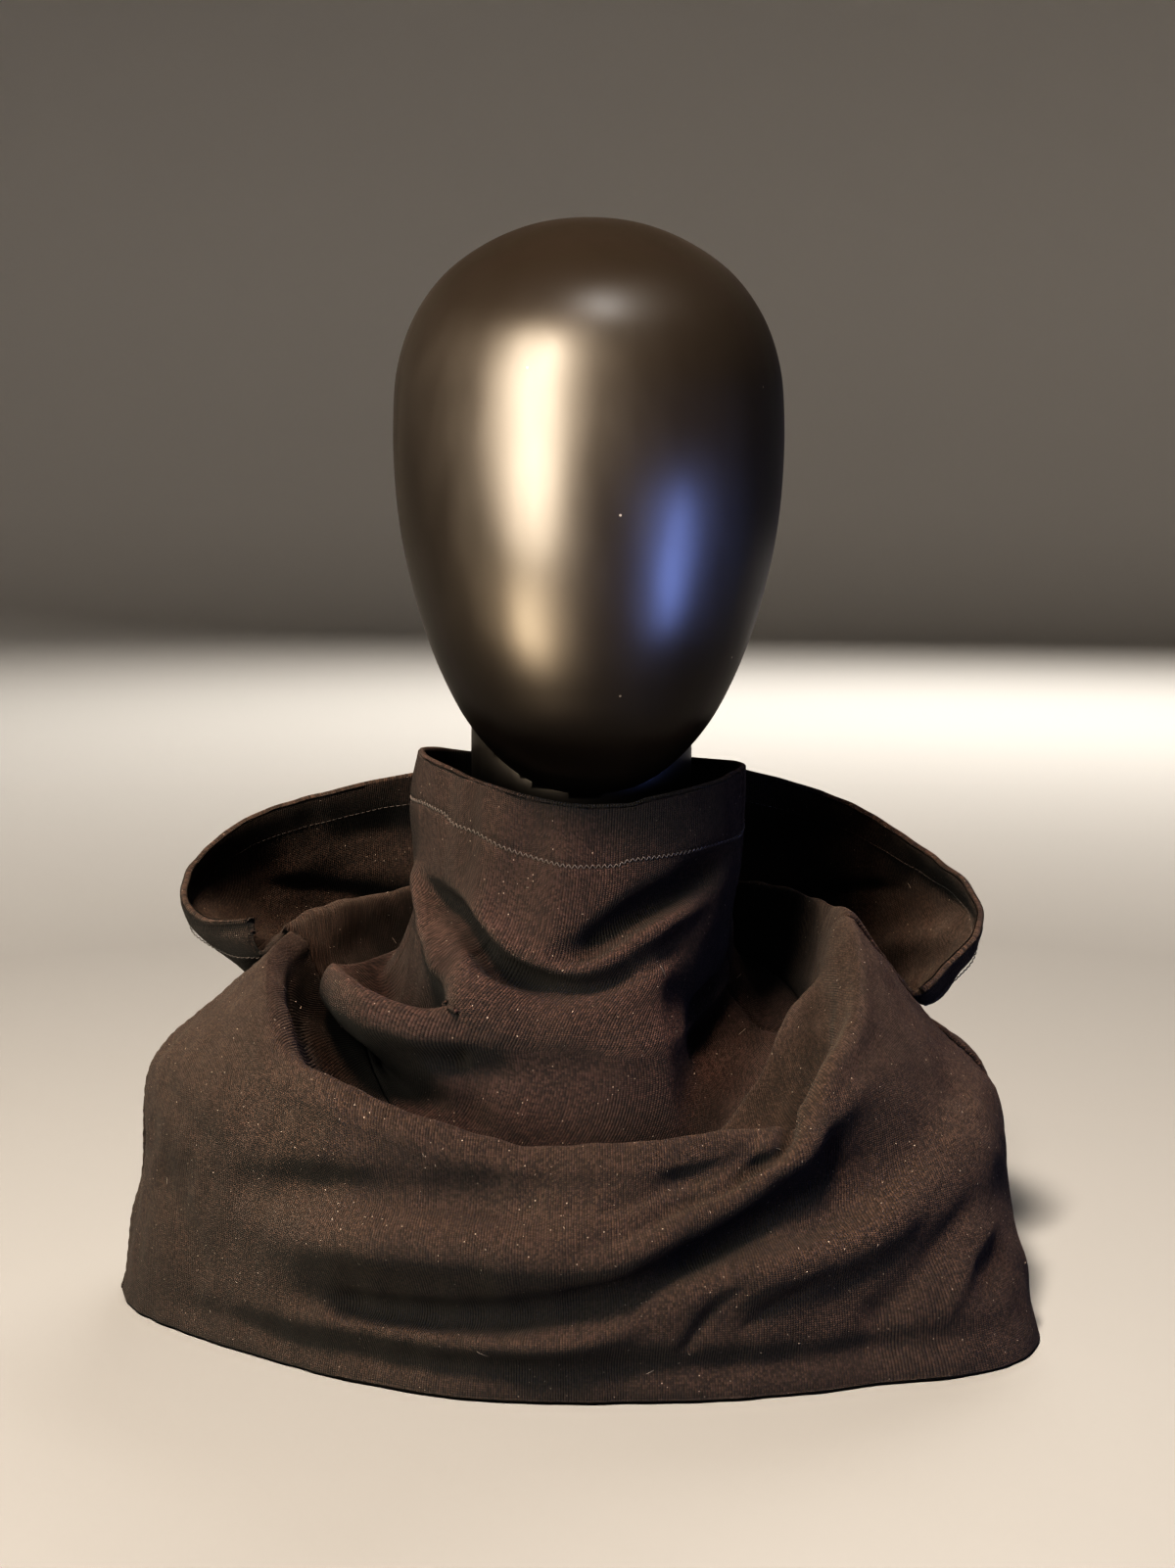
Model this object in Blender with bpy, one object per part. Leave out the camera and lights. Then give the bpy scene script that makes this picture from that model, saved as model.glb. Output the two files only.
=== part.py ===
"""Hooded cowl on a smooth display head.

A snug neck gaiter rises from a draped mantle, and the hood lies open behind the neck.
Each cut piece of cloth is a closed wall, lofted from short tables of profile points.
The display head stands inside on its own shoulder base, clear of the cloth.

Frame: +Z up, the wearer faces -Y, +X is the viewer's right. The origin is the centre of the
base that the display head stands on. Azimuth is measured about +Z from the front (-Y), and
it is positive towards +X. All tables are in millimetres and degrees.
"""

import math

import bpy
import numpy as np

MM = 0.001

# Driving sizes of the cloth. Seams that meet edge to edge are SEAM_GAP apart. Strips that nest
# round the neck have other facets than their neighbours, so they are NEST_GAP apart.
CLOTH = 2.0
HEM_EXTRA = 1.0
SEAM_GAP = 0.3
NEST_GAP = 0.5
SIDE_SEAM = 84.0
FLOOR_GAP = 0.3

# Mesh density, in degrees of azimuth and in rows along a profile.
RING_STEP = 6.0
BACK_STEP = 12.0
FRONT_STEP = 4.2
HOOD_STEP = 8.0
TIP_STEP = 4.0
FRONT_LEVELS = 26
BACK_LEVELS = 13
HOOD_LEVELS = 18
GAITER_LEVELS = 24
FORM_SIDES = 28

# Base colours: very dark warm brown knit, and the display head's black-bronze lacquer.
JERSEY = (0.020, 0.013, 0.010)
SATIN = (0.045, 0.036, 0.028)

# Where gaiter, mantle and hood are sewn together, low in front and high behind the neck.
SEAM_COLUMNS = ("azimuth", "r", "z")
SEAM_ROWS = (
    (-180, 79, 129),
    (-140, 81, 126),
    (-110, 86, 118),
    (-84, 92, 106),
    (-60, 95, 90),
    (-40, 97, 72),
    (-20, 95, 60),
    (0, 95, 58),
    (20, 95, 60),
    (40, 97, 72),
    (60, 95, 90),
    (84, 92, 106),
    (110, 86, 118),
    (140, 81, 126),
)
SEAM_DROP = 6
SEAM_RISE = 2

# The front of the mantle: up from the neck seam over a low inner fold, down a little valley,
# over a soft roll and down to the hem.
FRONT_COLUMNS = (
    "azimuth",
    "inner_r", "inner_z",
    "valley_r", "valley_z",
    "ridge_r", "ridge_z", "roll",
    "slope_r", "slope_z",
    "shoulder_r", "shoulder_z",
    "side_r", "side_z",
    "hem_r",
)
FRONT_ROWS = (
    (-84, 108, 124, 113, 138, 122, 150, 8, 146, 129, 177, 101, 185, 50, 195),
    (-74, 118, 114, 123, 130, 132, 144, 8, 152, 123, 174, 99, 181, 50, 187),
    (-64, 115, 95, 126, 109, 138, 131, 8, 152, 114, 165, 93, 170, 47, 172),
    (-55, 112, 86, 124, 96, 141, 115, 8, 151, 101, 158, 84, 161, 44, 162),
    (-43, 110, 79, 121, 90, 138, 108, 8, 147, 94, 152, 78, 154, 40, 155),
    (-30, 106, 73, 115, 86, 130, 99, 8, 139, 84, 147, 66, 149, 35, 150),
    (-15, 103, 68, 109, 78, 122, 90, 8, 132, 76, 141, 60, 147, 32, 147),
    (0, 102, 67, 107, 77, 120, 89, 8, 130, 76, 139, 60, 147, 32, 146),
    (15, 102, 69, 108, 78, 121, 90, 8, 131, 77, 140, 60, 147, 32, 149),
    (26, 101, 79, 109, 81, 124, 92, 8, 133, 79, 143, 62, 150, 32, 155),
    (36, 99, 93, 110, 87, 127, 92, 7, 136, 80, 147, 63, 156, 34, 163),
    (41, 98, 101, 110, 92, 127, 97, 7, 139, 81, 150, 64, 160, 35, 168),
    (46, 97, 108, 109, 99, 126, 107, 8, 142, 86, 155, 66, 166, 36, 177),
    (56, 95, 121, 107, 113, 124, 122, 9, 145, 97, 164, 72, 178, 38, 193),
    (65, 93, 126, 102, 125, 118, 139, 9, 145, 106, 168, 79, 182, 40, 194),
    (74, 96, 128, 99, 137, 111, 152, 8, 142, 113, 167, 86, 176, 44, 183),
    (84, 95, 128, 98, 142, 106, 155, 7, 140, 116, 166, 90, 170, 45, 175),
)

# The back of the mantle: from the neck seam out under the hood and down to the hem.
BACK_COLUMNS = (
    "azimuth", "neck_r", "neck_z", "slope_r", "slope_z",
    "shoulder_r", "shoulder_z", "side_r", "side_z", "hem_r",
)
BACK_ROWS = (
    (84, 112, 116, 140, 113, 166, 90, 170, 45, 175),
    (100, 108, 119, 138, 109, 163, 88, 168, 45, 173),
    (120, 103, 121, 130, 107, 152, 84, 158, 45, 163),
    (150, 98, 122, 117, 104, 133, 80, 139, 45, 144),
    (180, 96, 122, 112, 103, 126, 80, 132, 45, 138),
    (210, 98, 122, 117, 105, 133, 82, 140, 45, 146),
    (240, 104, 123, 134, 110, 156, 88, 163, 48, 169),
    (260, 112, 119, 143, 115, 170, 95, 178, 50, 185),
    (276, 117, 117, 146, 122, 177, 100, 185, 50, 195),
)

# The hood, thrown back: up from the neck seam over the roll, down into the pouch and out to
# the turned edge of the face opening.
HOOD_COLUMNS = (
    "azimuth",
    "inner_r", "inner_z",
    "ridge_r", "ridge_z",
    "dip_r", "dip_z",
    "floor_r", "floor_z",
    "belly_r", "belly_z",
    "rim_r", "rim_z",
)
HOOD_ROWS = (
    (84, 95, 128, 106, 155, 121, 141, 131, 128, 134, 125, 137, 127),
    (88, 94, 130, 104, 156, 120, 138, 137, 120, 142, 123, 146, 133),
    (92, 94, 131, 102, 156, 120, 136, 141, 117, 151, 126, 156, 140),
    (96, 93, 132, 100, 157, 120, 135, 143, 116, 159, 131, 164, 146),
    (100, 93, 133, 99, 157, 120, 134, 145, 115, 164, 136, 168, 152),
    (104, 92, 133, 98, 157, 120, 133, 147, 113, 167, 138, 169, 158),
    (113, 90, 134, 97, 157, 120, 130, 149, 109, 170, 140, 166, 167),
    (124, 88, 136, 96, 157, 120, 126, 150, 102, 170, 138, 162, 178),
    (138, 86, 138, 95, 157, 118, 124, 149, 91, 170, 128, 162, 189),
    (152, 84, 140, 95, 158, 114, 122, 147, 80, 168, 117, 160, 197),
    (180, 83, 141, 95, 159, 112, 120, 144, 70, 165, 108, 153, 203),
    (211, 84, 140, 94, 158, 114, 122, 147, 80, 169, 116, 160, 196),
    (226, 86, 138, 94, 156, 119, 126, 151, 92, 174, 127, 167, 190),
    (240, 89, 137, 96, 156, 123, 131, 154, 108, 178, 140, 175, 182),
    (250, 92, 136, 98, 156, 125, 136, 154, 118, 177, 146, 177, 172),
    (257, 96, 135, 102, 156, 126, 140, 151, 127, 173, 146, 176, 163),
    (262, 99, 134, 106, 155, 127, 142, 149, 131, 167, 143, 172, 156),
    (267, 101, 132, 111, 154, 128, 144, 145, 134, 156, 141, 161, 151),
    (271, 104, 129, 116, 152, 129, 145, 141, 137, 147, 143, 149, 152),
    (276, 108, 124, 122, 150, 129, 146, 133, 142, 135, 146, 135, 155),
)

# The neck gaiter: from its turned top hem down the neck, with the roll of spare cloth
# ("lip") at the wearer's right, and out to the neck seam.
GAITER_COLUMNS = (
    "azimuth",
    "rim_r", "rim_z",
    "hem_r", "hem_z",
    "chest_r", "chest_z",
    "waist_r", "waist_z",
    "pocket_r", "pocket_z",
    "lip_r", "lip_z", "lip_half",
    "under_r", "under_z",
    "flare_r", "flare_z",
)
GAITER_ROWS = (
    (-180, 66, 214, 66, 190, 66, 172, 65, 158, 66, 154, 67, 150, 2, 68, 145, 72, 138),
    (-135, 68, 216, 69, 191, 69, 172, 68, 158, 69, 152, 70, 147, 3, 71, 141, 75, 134),
    (-110, 69, 221, 72, 195, 70, 174, 69, 158, 72, 148, 75, 141, 4, 75, 133, 79, 126),
    (-92, 69, 223, 73, 197, 71, 174, 70, 157, 77, 140, 82, 131, 5, 81, 121, 84, 113),
    (-83, 69, 223, 72, 197, 71, 173, 71, 156, 86, 128, 102, 127, 8, 86, 114, 85, 107),
    (-74, 68, 222, 71, 196, 71, 172, 71, 155, 86, 118, 112, 128, 11, 95, 108, 88, 100),
    (-60, 66, 220, 69, 194, 70, 170, 72, 153, 84, 114, 112, 125, 11, 96, 105, 89, 96),
    (-48, 65, 217, 67, 191, 70, 168, 75, 151, 83, 116, 105, 121, 10, 94, 103, 89, 93),
    (-41, 64, 215, 66, 189, 71, 166, 78, 149, 85, 124, 99, 119, 10, 92, 102, 88, 91),
    (-36, 64, 214, 66, 188, 71, 166, 80, 149, 88, 132, 94, 119, 10, 90, 102, 88, 90),
    (-31, 64, 213, 66, 187, 70, 165, 80, 148, 86, 134, 90, 118, 6, 88, 102, 87, 88),
    (-22, 64, 211, 66, 185, 70, 163, 76, 146, 81, 132, 86, 116, 4, 86, 101, 87, 85),
    (0, 66, 208, 67, 182, 70, 160, 75, 143, 78, 130, 82.5, 114, 3, 84, 100, 87, 82),
    (14, 65, 208, 66, 183, 69, 160, 75, 143, 79, 129, 84, 113, 3, 85, 99, 88, 80),
    (22, 64, 210, 65, 184, 68, 161, 74, 143, 77, 129, 82.5, 113, 3, 84, 98, 88, 81),
    (30, 63, 211, 64, 185, 66, 162, 69, 143, 70, 128, 73.5, 113, 3, 76, 97, 85, 80),
    (48, 63, 213, 63, 188, 63, 164, 62, 144, 60, 130, 60, 118, 8, 64, 100, 76, 86),
    (66, 64, 215, 63, 190, 62, 167, 60, 150, 59, 138, 59, 126, 7, 62, 110, 73, 98),
    (90, 65, 216, 64, 192, 62, 172, 60, 158, 60, 148, 61, 138, 5, 64, 126, 72, 115),
    (135, 66, 214, 66, 190, 65, 172, 64, 158, 65, 153, 66, 148, 3, 68, 142, 73, 133),
)

# Large folds: how far each moves the cloth along the face's normal, its half width, and its
# route as (azimuth, height) points. The hood's normals face into its pouch.
MANTLE_FOLDS = (
    (-4.0, 9, ((-55, 65), (-40, 71), (-27, 72), (-14, 72), (0, 74))),
    (4.5, 13, ((-52, 55), (-35, 55), (-22, 56), (-8, 56), (6, 58), (15, 62))),
    (-5.0, 8, ((-42, 33), (-33, 28), (-17, 30), (-3, 36), (11, 44))),
    (2.0, 6, ((-38, 24), (-22, 20), (-8, 22), (8, 23))),
    (3.5, 8, ((57, 121), (49, 111), (42, 98), (36, 89), (29, 80), (23, 72), (13, 61), (6, 54))),
    (-2.5, 5, ((10, 77), (17, 79), (23, 83), (29, 88))),
    (-2.5, 5, ((13, 68), (20, 72), (27, 78), (31, 84))),
    (-6.5, 11, ((9, 47), (16, 53), (26, 59), (37, 62), (48, 72), (57, 80))),
    (4.0, 9, ((15, 42), (29, 48), (39, 52), (50, 64))),
    (-4.5, 13, ((32, 68), (43, 77), (54, 85), (66, 94), (76, 102))),
    (-3.0, 12, ((-72, 70), (-66, 45), (-60, 20))),
    (-3.0, 12, ((72, 66), (62, 44), (54, 24))),
)
BACK_FOLDS = (
    (-3.0, 12, ((118, 78), (130, 50), (134, 15))),
    (3.0, 11, ((150, 66), (153, 35), (151, 6))),
    (-3.5, 12, ((172, 70), (178, 40), (176, 12))),
    (3.0, 11, ((203, 62), (200, 34), (203, 6))),
    (-3.0, 13, ((238, 80), (226, 48), (224, 14))),
    (2.5, 12, ((252, 60), (248, 30), (250, 6))),
)
HOOD_FOLDS = (
    (6.0, 10, ((133, 152), (156, 139), (180, 134), (203, 141), (229, 155))),
    (-4.0, 11, ((146, 122), (164, 110), (180, 104), (197, 111), (217, 126))),
    (4.0, 8, ((158, 92), (176, 84), (199, 91))),
    (-3.5, 9, ((128, 172), (152, 166), (180, 164), (206, 168), (230, 174))),
    (4.0, 8, ((104, 136), (116, 128), (130, 116))),
    (4.0, 8, ((256, 140), (246, 130), (232, 118))),
)
GAITER_FOLDS = (
    (-5.0, 7, ((-58, 167), (-38, 156), (-26, 147), (-14, 140), (-5, 138), (7, 141), (22, 150))),
    (2.5, 6, ((-45, 169), (-20, 152), (-7, 146), (4, 148), (17, 157), (36, 165), (60, 172))),
    (-5.0, 8, ((62, 184), (37, 172), (18, 165), (6, 156), (-6, 150))),
    (2.0, 10, ((-40, 143), (-20, 131), (0, 130), (16, 138))),
    (-3.0, 8, ((-60, 112), (-50, 108), (-38, 106), (-26, 105), (-14, 104))),
    (4.0, 7, ((-75, 171), (-61, 155), (-49, 146), (-41, 138), (-35, 129), (-34, 120))),
)
ROUTE_POINTS = 24

# The egg head, and the neck and shoulder base that it stands on. Each row is one oval section:
# (height, half width, front y, back y). The shoulders rise to just under the neck seam.
HEAD_ROWS = (
    (210, 8, -50, -34),
    (213, 20, -60, -20),
    (219, 31, -69, 0),
    (227, 40, -76, 14),
    (238, 49, -83, 29),
    (252, 57, -88, 44),
    (268, 64, -92, 58),
    (290, 71, -95, 75),
    (313, 76, -96, 88),
    (336, 78.5, -95, 97),
    (356, 79, -92, 101),
    (376, 77.5, -87, 100),
    (396, 71, -77, 92),
    (413, 59, -62, 77),
    (425, 43, -43, 57),
    (433, 24, -22, 34),
)
HEAD_BOTTOM = (-42, 209)
HEAD_TOP = (6, 436)
BASE_ROWS = (
    (0, 152, -80, 100),
    (8, 158, -83, 105),
    (40, 162, -82, 108),
    (60, 160, -78, 108),
    (72, 152, -70, 105),
    (81, 132, -58, 99),
    (88, 106, -50, 94),
    (97, 92, -46, 91),
    (104, 84, -45, 89),
    (113, 68, -43, 84),
    (122.2, 54, -42, 79),
    (123, 52, -42, 73),
    (129, 50, -41, 66),
    (140, 48, -40, 59),
    (158, 47, -39, 54),
    (190, 45.5, -38, 51),
    (225, 45.5, -37, 50),
    (262, 44, -34, 46),
)
NECK_OFFSET_X = -2.5


def table(columns, rows):
    """The rows as one array for each named column."""
    return {name: np.array(values, float) for name, values in zip(columns, zip(*rows))}


def smooth(xs, ys, x):
    """Cubic curve through (xs, ys). Its slope follows the neighbours, and a flat stretch stays flat."""
    slopes = np.gradient(ys, xs, axis=0)
    flat = np.diff(ys, axis=0) == 0
    slopes[:-1][flat] = 0
    slopes[1:][flat] = 0
    i = np.clip(np.searchsorted(xs, x, side="right") - 1, 0, len(xs) - 2)
    span = xs[i + 1] - xs[i]
    t = (x - xs[i]) / span
    if np.ndim(ys) > 1:
        extra = (1,) * (np.ndim(ys) - 1)
        t = np.reshape(t, t.shape + extra)
        span = np.reshape(span, span.shape + extra)
    start = (1 + 2 * t) * (1 - t) ** 2 * ys[i] + t * (1 - t) ** 2 * span * slopes[i]
    end = t * t * (3 - 2 * t) * ys[i + 1] + t * t * (t - 1) * span * slopes[i + 1]
    return start + end


def around(sections, name, azimuth, closed):
    """One column of a table of sections, read at these azimuths."""
    xs = sections["azimuth"]
    ys = sections[name]
    if closed:
        xs = np.concatenate([xs - 360, xs, xs + 360])
        ys = np.tile(ys, 3)
        azimuth = (np.asarray(azimuth) + 180) % 360 - 180
    return smooth(xs, ys, azimuth)


def seam_ring(azimuth):
    """Radius and height of the neck seam."""
    sections = table(SEAM_COLUMNS, SEAM_ROWS)
    return (
        around(sections, "r", azimuth, closed=True),
        around(sections, "z", azimuth, closed=True),
    )


def profiles(controls, knots, rows):
    """Smooth profiles through control points, last point first: (azimuths, rows, 2) radii and heights."""
    stacked = np.stack([np.stack(pair, axis=-1) for pair in controls])
    at = np.linspace(knots[-1], 0, rows)
    return np.swapaxes(smooth(np.array(knots, float), stacked, at), 0, 1)


def to_points(profile, azimuth):
    """Turns radii and heights at each azimuth into points in space."""
    angle = np.radians(azimuth)[:, None]
    x = profile[..., 0] * np.sin(angle)
    y = -profile[..., 0] * np.cos(angle)
    return np.stack([x, y, profile[..., 1]], axis=-1)


def seam_tangent(azimuth):
    angle = math.radians(azimuth)
    return np.array([math.cos(angle), math.sin(angle), 0.0])


def grid_normals(points, azimuth, closed):
    """Unit normals of a grid whose first axis is azimuth and second runs along a profile.

    At the cut edges of an open panel they lie in the plane of the edge.
    """
    if closed:
        wrapped = np.concatenate([points[-1:], points, points[:1]])
        across = wrapped[2:] - wrapped[:-2]
    else:
        across = np.gradient(points, axis=0)
    normals = np.cross(across, np.gradient(points, axis=1))
    if not closed:
        for column in (0, -1):
            tangent = seam_tangent(azimuth[column])
            normals[column] -= (normals[column] @ tangent)[:, None] * tangent
    return normals / np.linalg.norm(normals, axis=-1, keepdims=True)


def on_face(points, azimuth, route):
    """Points in space along a route of (azimuth, height), on the first run of a grid's rows."""
    marks = np.array(route, float)
    ends = np.arange(len(marks))
    places = smooth(ends, marks, np.linspace(0, ends[-1], ROUTE_POINTS))
    found = []
    for turn, height in places:
        column = np.interp(turn, azimuth, np.arange(len(azimuth)))
        left = int(column)
        right = min(left + 1, len(azimuth) - 1)
        line = points[left] + (column - left) * (points[right] - points[left])
        way = np.sign(line[1, 2] - line[0, 2])
        run = line[: int(np.argmax(way * line[:, 2])) + 1]
        rising = np.maximum.accumulate(way * run[:, 2])
        x = np.interp(way * height, rising, run[:, 0])
        y = np.interp(way * height, rising, run[:, 1])
        found.append((x, y, height))
    return np.array(found)


def fold(points, azimuth, folds, closed):
    """Raises and sinks the large folds along the outward normals of a grid."""
    normals = grid_normals(points, azimuth, closed)
    moved = points.copy()
    for height, width, route in folds:
        line = on_face(points, azimuth, route)
        gaps = np.linalg.norm(points[:, :, None, :] - line, axis=-1)
        nearest = gaps.argmin(axis=-1) / (len(line) - 1)
        ends = np.clip(4 * np.minimum(nearest, 1 - nearest), 0, 1)
        taper = 0.25 + 0.75 * ends
        lift = height * taper * np.exp(-((gaps.min(axis=-1) / width) ** 2))
        moved += lift[..., None] * normals
    return moved


def part_at_seam(points, azimuth):
    """Moves both cut edges of a panel half a seam gap away from the seam's plane."""
    for column, side in ((0, 1.0), (-1, -1.0)):
        points[column] += side * SEAM_GAP / 2 * seam_tangent(azimuth[column])


def wall(name, points, azimuth, thickness, closed):
    """A closed cloth wall from a grid of outer points, thickened inwards."""
    normals = grid_normals(points, azimuth, closed)
    inner = points - normals * thickness[None, :, None]
    columns, rows = points.shape[:2]
    count = columns * rows

    def at(column, row, layer):
        return layer * count + (column % columns) * rows + row

    faces = []
    last = columns if closed else columns - 1
    for i in range(last):
        for j in range(rows - 1):
            a, b = (i, j), (i + 1, j)
            c, d = (i + 1, j + 1), (i, j + 1)
            faces.append([at(*a, 0), at(*b, 0), at(*c, 0), at(*d, 0)])
            faces.append([at(*d, 1), at(*c, 1), at(*b, 1), at(*a, 1)])
        for j, flip in ((0, True), (rows - 1, False)):
            edge = [at(i, j, 0), at(i + 1, j, 0), at(i + 1, j, 1), at(i, j, 1)]
            faces.append(edge[::-1] if flip else edge)
    if not closed:
        for i, flip in ((0, False), (columns - 1, True)):
            for j in range(rows - 1):
                edge = [at(i, j, 0), at(i, j + 1, 0), at(i, j + 1, 1), at(i, j, 1)]
                faces.append(edge[::-1] if flip else edge)
    vertices = np.concatenate([points.reshape(-1, 3), inner.reshape(-1, 3)])
    vertices[:, 2] = np.maximum(vertices[:, 2], FLOOR_GAP)
    return solid(name, vertices * MM, faces, jersey(name))


def solid(name, vertices, faces, material):
    mesh = bpy.data.meshes.new(name)
    mesh.from_pydata([tuple(v) for v in vertices], [], faces)
    mesh.validate()
    mesh.shade_smooth()
    mesh.materials.append(material)
    piece = bpy.data.objects.new(name, mesh)
    bpy.context.collection.objects.link(piece)
    return piece


def finish(name, colour, roughness, metallic=0.0, sheen=0.0):
    material = bpy.data.materials.new(name)
    material.use_nodes = True
    shader = material.node_tree.nodes["Principled BSDF"]
    shader.inputs["Base Color"].default_value = (*colour, 1)
    shader.inputs["Roughness"].default_value = roughness
    shader.inputs["Metallic"].default_value = metallic
    shader.inputs["Sheen Weight"].default_value = sheen
    return material


def jersey(name):
    return finish(name + "_jersey", JERSEY, 0.85, sheen=0.3)


def steps(first, last, step):
    """Even azimuths from first to last, no further apart than the step."""
    return np.linspace(first, last, math.ceil((last - first) / step) + 1)


def even_wall(rows):
    return np.full(rows, CLOTH)


def hemmed_wall(rows, hem_rows, at_start):
    """Wall thickness that grows where the edge is turned in and sewn down."""
    thickness = np.full(rows, CLOTH)
    band = slice(0, hem_rows) if at_start else slice(rows - hem_rows, rows)
    thickness[band] += HEM_EXTRA
    return thickness


def seam_controls(azimuth, out=0.0):
    """The upright strip of cloth at the neck seam, this far out from the seam's ring."""
    radius, height = seam_ring(azimuth)
    return [(radius + out, height - SEAM_DROP), (radius + out, height + SEAM_RISE)]


def mantle_front():
    azimuth = steps(-SIDE_SEAM, SIDE_SEAM, FRONT_STEP)
    sections = table(FRONT_COLUMNS, FRONT_ROWS)

    def read(name):
        return around(sections, name, azimuth, closed=False)

    roll = read("roll")
    controls = seam_controls(azimuth) + [
        (read("inner_r"), read("inner_z")),
        (read("valley_r"), read("valley_z")),
        (read("ridge_r") - 0.8 * roll, read("ridge_z") - 0.5 * roll),
        (read("ridge_r"), read("ridge_z")),
        (read("ridge_r") + 0.8 * roll, read("ridge_z") - 0.7 * roll),
        (read("slope_r"), read("slope_z")),
        (read("shoulder_r"), read("shoulder_z")),
        (read("side_r"), read("side_z")),
        (read("hem_r"), 0 * azimuth),
    ]
    knots = (0, 8, 24, 36, 50, 58, 67, 82, 104, 136, 172)
    profile = profiles(controls, knots, FRONT_LEVELS)
    points = fold(to_points(profile, azimuth), azimuth, MANTLE_FOLDS, closed=False)
    part_at_seam(points, azimuth)
    return wall("mantle_front", points, azimuth, even_wall(FRONT_LEVELS), closed=False)


def mantle_back():
    azimuth = steps(SIDE_SEAM, 360 - SIDE_SEAM, RING_STEP)
    sections = table(BACK_COLUMNS, BACK_ROWS)

    def read(name):
        return around(sections, name, azimuth, closed=False)

    controls = seam_controls(azimuth, CLOTH + NEST_GAP) + [
        (read("neck_r"), read("neck_z")),
        (read("slope_r"), read("slope_z")),
        (read("shoulder_r"), read("shoulder_z")),
        (read("side_r"), read("side_z")),
        (read("hem_r"), 0 * azimuth),
    ]
    knots = (0, 8, 26, 52, 80, 118, 164)
    profile = profiles(controls, knots, BACK_LEVELS)
    points = fold(to_points(profile, azimuth), azimuth, BACK_FOLDS, closed=False)
    part_at_seam(points, azimuth)
    return wall("mantle_back", points, azimuth, even_wall(BACK_LEVELS), closed=False)


def hood_half(name, azimuth):
    sections = table(HOOD_COLUMNS, HOOD_ROWS)

    def read(name):
        return around(sections, name, azimuth, closed=False)

    controls = seam_controls(azimuth) + [
        (read("inner_r"), read("inner_z")),
        (read("ridge_r"), read("ridge_z")),
        (read("dip_r"), read("dip_z")),
        (read("floor_r"), read("floor_z")),
        (read("belly_r"), read("belly_z")),
        (read("rim_r"), read("rim_z")),
    ]
    knots = (0, 8, 24, 50, 84, 130, 174, 238)
    profile = profiles(controls, knots, HOOD_LEVELS)
    points = fold(to_points(profile, azimuth), azimuth, HOOD_FOLDS, closed=False)
    part_at_seam(points, azimuth)
    thickness = hemmed_wall(HOOD_LEVELS, 2, at_start=True)
    return wall(name, points, azimuth, thickness, closed=False)


def neck_gaiter():
    azimuth = np.concatenate([
        steps(-180, -120, BACK_STEP),
        steps(-114, 96, RING_STEP),
        steps(108, 168, BACK_STEP),
    ])
    sections = table(GAITER_COLUMNS, GAITER_ROWS)

    def read(name):
        return around(sections, name, azimuth, closed=True)

    lip = read("lip_half")
    curl = 0.5 * lip * np.clip((lip - 4) / 4, 0, 1)
    foot = seam_controls(azimuth, -NEST_GAP)
    controls = [
        (read("rim_r"), read("rim_z")),
        (read("hem_r"), read("hem_z")),
        (read("chest_r"), read("chest_z")),
        (read("waist_r"), read("waist_z")),
        (read("pocket_r"), read("pocket_z")),
        (read("lip_r") - curl, read("lip_z") + lip),
        (read("lip_r"), read("lip_z")),
        (read("lip_r") - curl, read("lip_z") - lip),
        (read("under_r"), read("under_z")),
        (read("flare_r"), read("flare_z")),
    ] + foot[::-1]
    knots = (0, 26, 48, 66, 88, 102, 112, 122, 138, 154, 176, 184)
    profile = profiles(controls, knots, GAITER_LEVELS)
    points = fold(to_points(profile, azimuth), azimuth, GAITER_FOLDS, closed=True)
    thickness = hemmed_wall(GAITER_LEVELS, 4, at_start=False)
    return wall("neck_gaiter", points, azimuth, thickness, closed=True)


def ring(z, half_width, front, back, sides, offset_x):
    """One oval section of the display head, between its front and back y."""
    points = []
    for k in range(sides):
        angle = 2 * math.pi * k / sides
        middle = (front + back) / 2
        half_depth = (back - front) / 2
        x = half_width * math.sin(angle) + offset_x
        y = middle - half_depth * math.cos(angle)
        points.append((x, y, z))
    return points


def oval_stack(name, rows, bottom, top, offset_x, material):
    """A closed body through oval rings, ending in a flat face or in a pole (y, z)."""
    points = []
    faces = []
    for row in rows:
        points += ring(*row, FORM_SIDES, offset_x)
    for i in range(len(rows) - 1):
        for k in range(FORM_SIDES):
            a = i * FORM_SIDES + k
            b = i * FORM_SIDES + (k + 1) % FORM_SIDES
            faces.append([a, b, b + FORM_SIDES, a + FORM_SIDES])
    for end, start, flip in ((bottom, 0, True), (top, len(points) - FORM_SIDES, False)):
        loop = [start + k for k in range(FORM_SIDES)]
        if end is None:
            faces.append(loop[::-1] if flip else loop)
            continue
        points.append((offset_x, *end))
        for k in range(FORM_SIDES):
            a, b = loop[k], loop[(k + 1) % FORM_SIDES]
            faces.append([b, a, len(points) - 1] if flip else [a, b, len(points) - 1])
    return solid(name, np.array(points) * MM, faces, material)


def display_form():
    """The egg head joined with its neck and shoulder base into one body."""
    satin = finish("display_satin", SATIN, 0.32, metallic=0.55)
    form = oval_stack("display_form", BASE_ROWS, None, None, NECK_OFFSET_X, satin)
    head = oval_stack("head_shape", HEAD_ROWS, HEAD_BOTTOM, HEAD_TOP, 0.5, satin)
    head.hide_render = True
    head.display_type = "WIRE"
    join = form.modifiers.new("head", "BOOLEAN")
    join.operation = "UNION"
    join.object = head
    return form


def clear_scene():
    for old in list(bpy.data.objects):
        bpy.data.objects.remove(old, do_unlink=True)


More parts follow.
